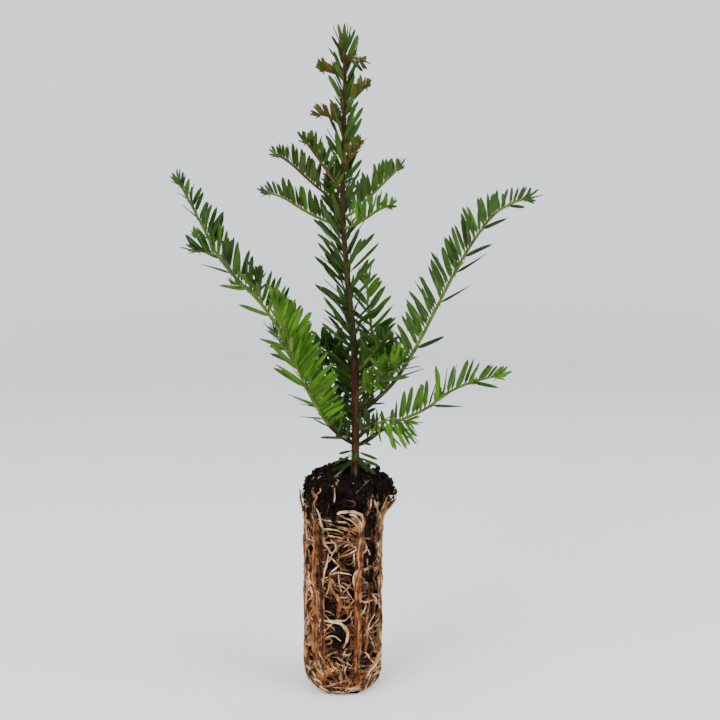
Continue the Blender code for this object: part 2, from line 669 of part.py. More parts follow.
def main():
    clear_scene()
    rng = random.Random(41)
    peat = make_material("peat", (0.03, 0.02, 0.014), 0.95)
    roots = make_material("roots", (0.55, 0.40, 0.22), 0.75)
    bark = make_material("bark", (0.20, 0.10, 0.05), 0.8)
    needles = make_material("needles", (0.07, 0.19, 0.04), 0.5)
    space = Space()

    # Root ball and the roots over it.
    ball = ball_shape()
    make_object("root_ball", ball, peat)
    space.add("root_ball", ball)
    strands = root_strands(rng)
    fused("root_web", strands[0], strands[1:], [], roots, space, least=0.66)

    # Stem, whole from the flat cut in the soil to its tip.
    stem = stem_bar(STEM_FOOT, STEM_TIP, 0.0)
    make_object("stem", stem, bark)
    space.add("stem", stem)
    round_stem = stem_bar(STEM_FOOT - 3, STEM_TIP, CLEAR + 0.06)

    # Boughs: the bare first length of each big side shoot, ending where its spray begins.
    for shoot in SHOOTS:
        shoot["path"] = shoot_path(shoot)
        if shoot["bare"]:
            line = piece_of(shoot["path"], 0.0, shoot["bare"], 4.0)
            radii = [shoot_radius(shoot, shoot["bare"] * i / (len(line) - 1)) for i in range(len(line))]
            radii[0] *= 1.25
            fused("bough_" + shoot["name"], tube(line, radii, 8), [], [round_stem], bark, space)

    # The stem of each spray is placed before any needle, so that no needle crosses one.
    for shoot in SHOOTS:
        first = shoot["bare"] + CLEAR if shoot["bare"] else 0.0
        line = piece_of(shoot["path"], first, shoot["length"])
        reach = [first + (shoot["length"] - first) * i / (len(line) - 1) for i in range(len(line))]
        shoot["bar"] = tube(line, [SPRAY_STEM * shoot_radius(shoot, r) for r in reach], 3)
        shoot["first"] = first
        shown = piece_of(shoot["path"], max(first, along(STEM_RADIUS, shoot["z"]) + 1.5), shoot["length"])
        space.add(shoot["name"], tube(shown, [SPRAY_STEM * shoot["thick"] + CLEAR] * len(shown), 4))
    for sheath in SHEATHS:
        sheath["bar"] = stem_bar(sheath["low"], sheath["high"], CLEAR + SHEATH_WALL)
        space.add(sheath["name"], sheath["bar"])

    # Sprays on the side shoots.
    for shoot in SHOOTS:
        rng = random.Random(shoot["name"])
        name = shoot["name"]
        path = shoot["path"]
        start = shoot["first"] + (3.0 if shoot["bare"] else along(STEM_RADIUS, shoot["z"]) + 3.0)
        turn = shoot["turn"]
        length, size, gap = shoot["length"], shoot["needle"], shoot["gap"]
        ranks, lean = shoot["ranks"], shoot["lean"]
        wanted = spray(path, start, length, shoot["az"], turn, size, gap, ranks, lean, rng)
        parts = []
        for twig in shoot["twigs"]:
            line = side_twig(path, length, twig)
            if space.touches(tube(line, [1.1] * 4, 4), name):
                continue
            parts.append(tube(line, [0.9, 0.85, 0.8, 0.7], 3))
            _, az, _, reach = twig
            wanted += spray(line, 2.0, reach, az, 0, TWIG_NEEDLE, TWIG_GAP, TWIG_RANKS, TWIG_LEAN, rng)
        for root, ahead, across, reach in wanted:
            grown = needle(root + ahead * 0.6, ahead, across, reach - 0.6, NEEDLE_WIDE, CLEAR)
            if space.touches(grown, name):
                continue
            parts.append(needle(root, ahead, across, reach, NEEDLE_WIDE))
        cut = [] if shoot["bare"] else [round_stem]
        fused("spray_" + name, shoot["bar"], parts, cut, needles, space)
        space.shapes.pop(name)
        space.without = None

    # Needles round the stem.
    for sheath in SHEATHS:
        rng = random.Random(sheath["name"])
        name = sheath["name"]
        parts = []
        windows = []
        for shoot in SHOOTS:
            if sheath["low"] - 4 < shoot["z"] < sheath["high"] + 1:
                line = piece_of(shoot["path"], 0.0, 9.0, 3.0)
                wide = (1.3 if shoot["bare"] else SPRAY_STEM) * shoot["thick"] + CLEAR + 0.1
                windows.append(tube(line, [wide] * len(line), 6))
        for k in range(sheath["count"]):
            z = sheath["low"] + 1.6 + (sheath["high"] - sheath["low"] - 3.2) * (k + 0.5) / sheath["count"]
            az = 137.5 * k + rng.uniform(-10, 10)
            ahead = slant(az, sheath["rise"] + rng.uniform(-8, 8))
            out = slant(az, 0)
            across = Vector((-out.y, out.x, 0))
            root = stem_point(z) + out * (along(STEM_RADIUS, z) * 0.7)
            length = sheath["needle"] * rng.uniform(0.86, 1.08)
            grown = needle(root + ahead * 2.2, ahead, across, length - 2.2, NEEDLE_WIDE, CLEAR)
            if space.touches(grown, name):
                continue
            parts.append(needle(root, ahead, across, length, NEEDLE_WIDE * 0.9))
        fused(name, sheath["bar"], parts, [round_stem] + windows, needles, space)

    # Terminal shoot: a short stem over the tip, with needles that stand up round the bud.
    rng = random.Random(7)
    foot = stem_point(STEM_TIP)
    line = [foot + Vector((0, 0, CLEAR + CROWN_STEM * s / 3)) for s in range(4)]
    parts = []
    for k in range(CROWN_NEEDLES):
        share = k / (CROWN_NEEDLES - 1)
        rise = 52 + 28 * share
        ahead = slant(137.5 * k + 20, rise)
        out = slant(137.5 * k + 20, 0)
        across = Vector((-out.y, out.x, 0))
        root = foot + Vector((0, 0, CLEAR + 1.2 + (CROWN_STEM - 2.4) * share))
        highest = (CROWN_TOP - root.z) / math.sin(math.radians(rise))
        length = highest if k == CROWN_NEEDLES - 1 else min(14.0 * rng.uniform(0.85, 1.05), highest)
        if space.touches(needle(root, ahead, across, length, NEEDLE_WIDE, CLEAR), "crown_tip"):
            continue
        parts.append(needle(root, ahead, across, length, NEEDLE_WIDE * 0.85))
    fused("crown_tip", tube(line, [0.9, 0.85, 0.8, 0.6], 5), parts, [], needles, space)


main()
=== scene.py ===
import math
import random

import bpy
import numpy as np
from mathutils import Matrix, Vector, noise


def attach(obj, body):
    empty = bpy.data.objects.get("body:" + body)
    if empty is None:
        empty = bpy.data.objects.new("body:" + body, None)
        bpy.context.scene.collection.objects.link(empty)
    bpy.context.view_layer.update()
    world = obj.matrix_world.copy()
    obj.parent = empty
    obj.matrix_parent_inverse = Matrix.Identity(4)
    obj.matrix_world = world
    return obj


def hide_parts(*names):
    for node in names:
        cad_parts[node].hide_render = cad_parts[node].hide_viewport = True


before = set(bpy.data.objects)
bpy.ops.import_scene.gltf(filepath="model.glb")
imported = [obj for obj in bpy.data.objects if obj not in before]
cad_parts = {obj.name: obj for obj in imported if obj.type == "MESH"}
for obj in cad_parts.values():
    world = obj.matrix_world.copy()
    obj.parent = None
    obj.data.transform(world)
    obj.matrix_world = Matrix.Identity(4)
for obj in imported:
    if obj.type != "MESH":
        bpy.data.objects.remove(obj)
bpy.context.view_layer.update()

# Camera: it stands a little above the leading stem's middle and looks slightly down, with a
# normal lens on a full-frame sensor, so the root ball's foot is seen from above.
camera_lens = bpy.data.cameras.new("camera")
camera_lens.lens = 50.0
camera_lens.sensor_width = 36.0
camera = bpy.data.objects.new("camera", camera_lens)
camera.location = (0.0102, -0.572, 0.265)
camera.rotation_euler = (math.radians(83.0), 0.0, 0.0)
bpy.context.scene.collection.objects.link(camera)
bpy.context.scene.camera = camera

# Floor: a wide pale matt sheet that the root ball stands on. It sweeps up all round, so that no
# horizon shows from any side.
sweep_flat = 1.6
sweep_bend = 0.7
sweep_top = 1.5
sweep_steps = 8
for obj in bpy.context.selected_objects:
    obj.select_set(False)
bpy.ops.mesh.primitive_circle_add(vertices=96, radius=sweep_flat, fill_type="NGON", location=(0, 0, 0))
floor = bpy.context.active_object
floor.name = "floor"
bpy.ops.object.mode_set(mode="EDIT")
bpy.ops.mesh.select_mode(type="EDGE")
bpy.ops.mesh.select_all(action="DESELECT")
bpy.ops.mesh.select_non_manifold()
for step in range(sweep_steps):
    turn = math.radians(90.0 * (step + 0.5) / sweep_steps)
    span = sweep_bend * math.radians(90.0 / sweep_steps)
    reach = sweep_flat + sweep_bend * math.sin(math.radians(90.0 * step / sweep_steps))
    wider = (reach + span * math.cos(turn)) / reach
    bpy.ops.mesh.extrude_region_move(TRANSFORM_OT_translate={"value": (0, 0, span * math.sin(turn))})
    bpy.ops.transform.resize(value=(wider, wider, 1.0), center_override=(0, 0, 0))
bpy.ops.mesh.extrude_region_move(TRANSFORM_OT_translate={"value": (0, 0, sweep_top - sweep_bend)})
bpy.ops.object.mode_set(mode="OBJECT")
bpy.ops.object.shade_smooth_by_angle(angle=math.radians(60))
floor_finish = bpy.data.materials.new("floor_white")
floor_finish.use_nodes = True
floor_shader = floor_finish.node_tree.nodes["Principled BSDF"]
floor_shader.inputs["Base Color"].default_value = (0.85, 0.865, 0.885, 1.0)
floor_shader.inputs["Roughness"].default_value = 0.7
floor.data.materials.append(floor_finish)

# Light: one broad soft window light from the upper left front, a weaker one from the right, a third
# from above and behind, and an even pale surround.
soft_lights = (
    ("window_left", (-1.1, -1.2, 1.35), 1.5, 62.0),
    ("window_right", (1.3, -0.7, 1.0), 1.3, 26.0),
    ("ceiling", (0.1, 0.5, 1.9), 1.8, 36.0),
)
lit_height = 0.2
for label, place, width, power in soft_lights:
    glow = bpy.data.lights.new(label, "AREA")
    glow.shape = "DISK"
    glow.size = width
    glow.energy = power
    lamp = bpy.data.objects.new(label, glow)
    lamp.location = place
    lamp.rotation_euler = (Vector((0, 0, lit_height)) - Vector(place)).to_track_quat("-Z", "Y").to_euler()
    bpy.context.scene.collection.objects.link(lamp)
surround = bpy.data.worlds.new("surround")
surround.use_nodes = True
surround.node_tree.nodes["Background"].inputs["Color"].default_value = (0.80, 0.83, 0.88, 1.0)
surround.node_tree.nodes["Background"].inputs["Strength"].default_value = 1.32
bpy.context.scene.world = surround

# Root ball: damp dark peat that kept the six-sided shape of its tray cell, with a groove down
# each corner, a torn lip at the upper right, and a loose mounded top round the stem's foot.
MM = 0.001
ball_profile = [
    (0.0, 17.4), (3.5, 20.3), (9.0, 22.1), (16.0, 22.6), (60.0, 22.7), (98.0, 22.8), (110.0, 22.8),
    (117.0, 23.0), (122.0, 23.0),
]
ball_groove = 1.0
groove_half = 4.5
lip_azimuth = 3.0
lip_reach = 8.6
lip_spread = 17.0
rim_z = 122.0
mound_rise = 6.5
stem_foot = (7.3, 0.0)
stem_foot_z = 123.7
mound_profile = [(0.0, 0.0), (0.24, 0.05), (0.38, 0.72), (0.58, 1.0), (0.80, 0.62), (1.0, 0.0)]


def along(table, value):
    """The table's second column at this value of its first."""
    if value <= table[0][0]:
        return table[0][1]
    for (a, low), (b, high) in zip(table, table[1:]):
        if value <= b:
            return low + (high - low) * (value - a) / (b - a)
    return table[-1][1]


def smooth(low, high, value):
    """A soft step from 0 at low to 1 at high."""
    t = min(max((value - low) / (high - low), 0.0), 1.0)
    return t * t * (3.0 - 2.0 * t)


def ball_radius(azimuth, z):
    """How far the side stands from the axis at an azimuth in degrees and a height."""
    corner = along(ball_profile, z)
    off = (azimuth + 30.0) % 60.0 - 30.0
    flat = corner * math.cos(math.radians(30.0)) / math.cos(math.radians(30.0 - abs(off)))
    flat = min(flat, corner * 0.985)
    sides = smooth(1.0, 12.0, z) * (1.0 - smooth(116.0, 122.0, z))
    groove = ball_groove * max(0.0, 1.0 - abs(off) / groove_half) * sides
    turned = (azimuth + 180.0) % 360.0 - 180.0
    lip = lip_reach * math.exp(-(((turned - lip_azimuth) / lip_spread) ** 2))
    lip *= smooth(99.0, 117.0, z) * (1.0 - 0.25 * smooth(118.0, 122.0, z))
    wave = 0.35 * math.sin(math.radians(azimuth * 5) + z * 0.21) * smooth(2.0, 12.0, z)
    return flat - groove + lip + wave


def ball_point(azimuth, z):
    """A point of the side at an azimuth and a height."""
    reach = ball_radius(azimuth, z)
    return Vector((reach * math.cos(math.radians(azimuth)), reach * math.sin(math.radians(azimuth)), z))


def mound_point(azimuth, share):
    """A point of the top, from the stem's foot (0) to the rim (1)."""
    rim = ball_point(azimuth, rim_z)
    lift = along(mound_profile, share)
    back = 1.0 + 0.3 * math.sin(math.radians(azimuth))
    level = rim.lerp(Vector((stem_foot[0], stem_foot[1], 0)), 1 - share)
    base = rim_z + (stem_foot_z - rim_z) * (1.0 - smooth(0.0, 0.4, share))
    return Vector((level.x, level.y, base + mound_rise * lift * back))


def clods(point, size, seed):
    """Smooth lumps between -1 and 1 at this size in millimetres."""
    return noise.noise(Vector((point[0] / size, point[1] / size, point[2] / size + seed)))


def lump_height(spot, top):
    """How far the peat stands out here, where top runs from 0 on the side to 1 on the mound."""
    lump = 0.6 * clods(spot, 4.6, 3.0) + 0.42 * clods(spot, 2.1, 9.0) + 0.28 * clods(spot, 0.9, 17.0)
    return lump * (0.9 + 2.9 * top) - 0.25


# Windows: bare patches of the side that the roots grow round, as (azimuth, height, radius). The
# first ones are those that show from the front, and the rest follow all round.
degree_width = 0.37
window_count = 60
window_apart = 1.5
windows = [
    (266, 34, 6.8), (287, 62, 4.4), (247, 56, 4.0), (279, 47, 3.4), (281, 76, 5.0), (252, 79, 3.4),
    (276, 15, 3.0), (223, 98, 3.2), (226, 85, 3.2), (219, 57, 4.6), (223, 36, 4.4), (216, 72, 3.4),
    (318, 100, 8.6), (320, 84, 8.0), (318, 70, 6.0), (330, 44, 3.4), (312, 26, 2.8), (336, 58, 3.4),
    (262, 100, 6.0), (282, 108, 6.0), (240, 112, 6.0), (262, 113, 6.0), (300, 112, 6.0),
]
front_windows = len(windows)
rng = random.Random(31)
while len(windows) < window_count:
    azimuth, z, size = (rng.uniform(-30, 205), rng.uniform(10, 104), rng.uniform(2.4, 5.4))
    gaps = [math.hypot((azimuth - a) * degree_width, z - b) - r - size for a, b, r in windows]
    if min(gaps) > window_apart:
        windows.append((azimuth, z, size))


def window_offset(azimuth, z, window):
    """How far right of and above a window's middle a place on the side is, in millimetres."""
    return ((azimuth - window[0] + 180.0) % 360.0 - 180.0) * degree_width, z - window[1]


def window_depth(azimuth, z):
    """How deep in a window a place is: 1 in its middle, 0 at its edge and less outside it."""
    return max(1.0 - math.hypot(*window_offset(azimuth, z, window)) / window[2] for window in windows)


for obj in bpy.context.selected_objects:
    obj.select_set(False)
bpy.ops.mesh.primitive_grid_add(x_subdivisions=288, y_subdivisions=200, size=2.0, location=(0, 0, 0))
peat = bpy.context.active_object
peat.name = "root_ball_peat"
foot_share = 0.06
side_share = 0.72
window_sink = 0.9
for vertex in peat.data.vertices:
    azimuth = 180.0 * (vertex.co.x + 1.0)
    share = (vertex.co.y + 1.0) / 2.0
    if share <= foot_share:
        spot = ball_point(azimuth, 0.0)
        spot = Vector((spot.x * share / foot_share, spot.y * share / foot_share, 0.0))
        out = Vector((0, 0, -1))
        rough = 0.0
    elif share <= side_share:
        z = rim_z * (share - foot_share) / (side_share - foot_share)
        spot = ball_point(azimuth, z)
        out = Vector((math.cos(math.radians(azimuth)), math.sin(math.radians(azimuth)), 0))
        spot = spot - out * (window_sink * smooth(0.0, 0.5, window_depth(azimuth, z)))
        rough = smooth(0.0, 5.0, z) * (1.0 + 1.7 * smooth(98.0, 112.0, z))
    else:
        inner = 1.0 - (share - side_share) / (1.0 - side_share)
        spot = mound_point(azimuth, inner)
        out = Vector((0, 0, 1))
        rough = 1.0
    top = smooth(side_share, side_share + 0.08, share)
    vertex.co = (spot + out * (rough * lump_height(spot, top))) * MM
bpy.ops.object.mode_set(mode="EDIT")
bpy.ops.mesh.select_all(action="SELECT")
bpy.ops.mesh.remove_doubles(threshold=0.00002)
bpy.ops.mesh.normals_make_consistent(inside=False)
bpy.ops.object.mode_set(mode="OBJECT")
bpy.ops.object.shade_smooth_by_angle(angle=math.radians(55))


def wired(tree, node, **inputs):
    """Sets each named input of a shader node to a value or links it to an output, and gives the node
    back. The node is one of the tree's or the kind of a new one."""
    if isinstance(node, str):
        node = tree.nodes.new("ShaderNode" + node)
    for name, value in inputs.items():
        socket = node.inputs[name.replace("_", " ")]
        if isinstance(value, bpy.types.NodeSocket):
            tree.links.new(value, socket)
        else:
            socket.default_value = value
    return node


def toned(tree, share, stops):
    """The colour at this share of the way through some stops, each a place and a colour."""
    ramp = wired(tree, "ValToRGB", Fac=share)
    ends = ramp.color_ramp.elements
    for end, (place, colour) in zip(ends, (stops[0], stops[-1])):
        end.position = place
        end.color = (*colour, 1.0)
    for place, colour in stops[1:-1]:
        ends.new(place).color = (*colour, 1.0)
    return ramp.outputs["Color"]


def grown_finish(label, dark, light, rough, shine, drift, spread, relief):
    """A natural skin. Its colour wanders between two tones by a noise, given as scale and detail,
    with the shares at which each tone is full. The relief is strength, depth, scale and detail."""
    finish = bpy.data.materials.new(label)
    finish.use_nodes = True
    tree = finish.node_tree
    where = tree.nodes.new("ShaderNodeTexCoord").outputs["Object"]
    broad = wired(tree, "TexNoise", Vector=where, Scale=drift[0], Detail=drift[1])
    fine = wired(tree, "TexNoise", Vector=where, Scale=relief[2], Detail=relief[3])
    bump = wired(tree, "Bump", Strength=relief[0], Distance=relief[1], Height=fine.outputs["Fac"])
    colour = toned(tree, broad.outputs["Fac"], ((spread[0], dark), (spread[1], light)))
    shader = wired(tree, tree.nodes["Principled BSDF"], Roughness=rough, Specular_IOR_Level=shine)
    wired(tree, shader, Base_Color=colour, Normal=bump.outputs["Normal"])
    return finish


def earth_finish(label, light, grain, bump):
    """A crumbly matt finish from nearly black to this brown."""
    relief = (bump, 0.0006, grain * 4.0, 5.0)
    return grown_finish(label, (0.0012, 0.0008, 0.0006), light, 0.93, 0.1, (grain, 6.0), (0.35, 0.75), relief)


peat.data.materials.append(earth_finish("peat_damp", (0.009, 0.0048, 0.0028), 320.0, 1.0))
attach(peat, "root")
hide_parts("root_ball")

# Crumbs: loose bits of peat over the top, the rim and the bare windows between the roots. Clods of
# several crumbs lie among them, and the stem's foot stays clear.
crumb_count = 2200
clod_count = 330
clod_crumbs = 5
foot_clear = 3.4


def joined(name, shapes, finishes, smooth_angle=None):
    """One object from many small shapes, each given as points in millimetres, faces and, where
    it has more than one finish, the finish of each face."""
    points = []
    faces = []
    kinds = []
    start = 0
    for shape in shapes:
        points.append(np.asarray(shape[0], dtype=np.float64))
        faces += [tuple(i + start for i in face) for face in shape[1]]
        kinds += list(shape[2]) if len(shape) > 2 else [0] * len(shape[1])
        start += len(shape[0])
    mesh = bpy.data.meshes.new(name)
    mesh.from_pydata((np.concatenate(points) * MM).tolist(), [], faces)
    for finish in finishes:
        mesh.materials.append(finish)
    mesh.polygons.foreach_set("material_index", kinds)
    piece = bpy.data.objects.new(name, mesh)
    bpy.context.scene.collection.objects.link(piece)
    for obj in bpy.context.selected_objects:
        obj.select_set(False)
    piece.select_set(True)
    bpy.context.view_layer.objects.active = piece
    if smooth_angle:
        bpy.ops.object.shade_smooth_by_angle(angle=math.radians(smooth_angle))
    return piece


golden = (1 + 5 ** 0.5) / 2
corners = ((-1, golden), (1, golden), (-1, -golden), (1, -golden))
lump_points = [(a, b, 0) for a, b in corners]
lump_points += [(0, a, b) for a, b in corners]
lump_points += [(b, 0, a) for a, b in corners]
lump_points = [Vector(point).normalized() for point in lump_points]
lump_faces = [
    (0, 11, 5), (0, 5, 1), (0, 1, 7), (0, 7, 10), (0, 10, 11), (1, 5, 9), (5, 11, 4), (11, 10, 2), (10, 7, 6),
    (7, 1, 8), (3, 9, 4), (3, 4, 2), (3, 2, 6), (3, 6, 8), (3, 8, 9), (4, 9, 5), (2, 4, 11), (6, 2, 10),
    (8, 6, 7), (9, 8, 1),
]


def crumb(rng, place, size):
    """A rough lump with 20 faces, stretched and turned at random."""
    stretch = Vector((rng.uniform(0.6, 1.3), rng.uniform(0.6, 1.3), rng.uniform(0.45, 1.0))) * size
    turn = Vector((rng.uniform(-1, 1), rng.uniform(-1, 1), rng.uniform(-1, 1))).to_track_quat("Z", "Y")
    points = []
    for p in lump_points:
        grown = Vector((p.x * stretch.x, p.y * stretch.y, p.z * stretch.z)) * rng.uniform(0.72, 1.22)
        points.append(place + turn @ grown)
    return points, lump_faces


rng = random.Random(12)
crumbs = []
for i in range(crumb_count):
    azimuth = rng.uniform(0, 360)
    if i % 5 < 3:
        share = math.sqrt(rng.uniform(0.06, 1.0))
        size = rng.choice((0.6, 0.8, 1.1, 1.5, 1.9))
        place = mound_point(azimuth, share) + Vector((0, 0, rng.uniform(-0.3, 1.2)))
        if i % 12 == 0:
            size *= 1.5
    else:
        z = rng.uniform(4, 120) if i % 5 == 3 else 121 - 22 * rng.random() ** 1.6
        size = rng.choice((0.4, 0.55, 0.75)) + 0.5 * smooth(104, 118, z) * rng.random()
        place = ball_point(azimuth, z)
        place += Vector((place.x, place.y, 0)).normalized() * rng.uniform(-0.4, 0.45)
    if (place.xy - Vector(stem_foot)).length < foot_clear:
        continue
    crumbs.append(crumb(rng, place, size))
for i in range(clod_count):
    azimuth = rng.uniform(0, 360)
    if i % 3:
        place = mound_point(azimuth, rng.uniform(0.55, 1.0)) + Vector((0, 0, rng.uniform(0.0, 2.2)))
    else:
        place = ball_point(azimuth, rng.uniform(106, 121))
    clod_size = 1.1 + 2.1 * rng.random() ** 1.5
    for j in range(clod_crumbs):
        shift = Vector((rng.uniform(-1, 1), rng.uniform(-1, 1), rng.uniform(-0.7, 0.9))) * clod_size * 0.6
        crumbs.append(crumb(rng, place + shift, clod_size * rng.uniform(0.35, 0.7)))
crumb_finish = earth_finish("peat_crumbs", (0.014, 0.0075, 0.0042), 500.0, 0.8)
peat_crumbs = joined("peat_crumbs", crumbs, [crumb_finish], 30)
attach(peat_crumbs, "root")
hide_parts("root_ball")

# Roots: woody cords beside each corner, with thinner roots that loop and cross over the sides,
# mat together at the foot and curl out at the lip. They are smooth, and paler as they are younger.
root_step = 1.3
root_low = 1.2
root_high = 119.0
window_turn = 42.0


def tube(path, radii, sides):
    """A closed round bar along a path, with a flat face over each end."""
    path = np.asarray(path, dtype=np.float64)
    ahead = np.gradient(path, axis=0)
    ahead /= np.maximum(np.linalg.norm(ahead, axis=1), 1e-9)[:, None]
    side = np.cross(ahead[0], (0.0, 0.0, 1.0) if abs(ahead[0][2]) < 0.9 else (0.0, 1.0, 0.0))
    points = []
    turns = 2 * math.pi * np.arange(sides) / sides
    for i in range(len(path)):
        side = side - ahead[i] * side.dot(ahead[i])
        side /= np.linalg.norm(side)
        over = np.cross(ahead[i], side)
        points.append(path[i] + radii[i] * (np.cos(turns)[:, None] * side + np.sin(turns)[:, None] * over))
    points = np.concatenate(points)
    faces = [tuple(reversed(range(sides)))]
    for i in range(len(path) - 1):
        for k in range(sides):
            n = (k + 1) % sides
            faces.append((i * sides + k, i * sides + n, (i + 1) * sides + n, (i + 1) * sides + k))
    faces.append(tuple((len(path) - 1) * sides + k for k in range(sides)))
    return points, faces


def over_ball(azimuth, z, stand_off):
    """A point that stands off the ball's side, square to it."""
    round_way = ball_point(azimuth + 3, z) - ball_point(azimuth - 3, z)
    up_way = ball_point(azimuth, z + 2.0) - ball_point(azimuth, z - 2.0)
    return ball_point(azimuth, z) + round_way.cross(up_way).normalized() * stand_off


def root_walk(rng, azimuth, z, heading, length, bend, layer, pull=None, draw=0.12):
    """A root's path over the ball: it turns slowly, keeps round the windows, and may be drawn
    towards a heading."""
    path = []
    turn = rng.uniform(-bend, bend)
    wave = rng.uniform(0.25, 0.6)
    near = []
    for window in windows:
        if math.hypot(*window_offset(azimuth, z, window)) < window[2] + length:
            near.append(window)
    for i in range(max(6, int(length / root_step))):
        for window in near:
            right, above = window_offset(azimuth, z, window)
            if math.hypot(right, above) < window[2]:
                away = math.degrees(math.atan2(above, right))
                veer = ((away - heading + 180.0) % 360.0 - 180.0) * 0.7
                heading += max(-window_turn, min(window_turn, veer))
        path.append(over_ball(azimuth, z, layer + 0.25 * math.sin(i * wave)))
        turn = turn * 0.9 + rng.uniform(-bend, bend) * 0.45
        heading += turn
        if pull is not None:
            heading += ((pull - heading + 180) % 360 - 180) * draw
        azimuth += math.degrees(root_step * math.cos(math.radians(heading)) / ball_radius(azimuth, z))
        z += root_step * math.sin(math.radians(heading))
        if not root_low <= z <= root_high:
            break
    return path


def root_bar(rng, path, radius, sides=6):
    """A root along a path, with a few swellings and thin ends."""
    count = len(path)
    path = [Vector((point.x, point.y, max(point.z, radius * 1.25))) for point in path]
    knots = rng.uniform(0, 6)
    radii = []
    for i in range(count):
        t = i / (count - 1)
        ends = min(1.0, 0.35 + t * 6) * min(1.0, 0.2 + (1 - t) * 4)
        radii.append(radius * ends * (1 + 0.14 * math.sin(i * 0.9 + knots) + 0.08 * math.sin(i * 2.3)))
    return tube(path, radii, sides)


root_shapes = {"umber": [], "rust": [], "orange": [], "tan": [], "pale": [], "thread": []}


def grow_root(kind, path, radius, sides=6):
    """Adds a root to those of its tone, unless the ball's edge cut it short."""
    if len(path) > 5:
        root_shapes[kind].append(root_bar(rng, path, radius, sides))


# Undergrowth: dark thin roots that cover the peat between the windows.
undergrowth_count = 560
rng = random.Random(5)
for i in range(undergrowth_count):
    azimuth = rng.uniform(0, 360)
    z = rng.uniform(4, 107)
    if window_depth(azimuth, z) > 0.0:
        continue
    heading = rng.uniform(0, 360)
    pull = rng.choice((None, 265, 95))
    reach = rng.uniform(12, 38)
    path = root_walk(rng, azimuth, z, heading, reach, rng.choice((6, 11, 17)), rng.uniform(0.0, 0.4), pull)
    grow_root(rng.choice(("umber", "umber", "umber", "rust", "rust", "orange")), path, rng.uniform(0.26, 0.5))

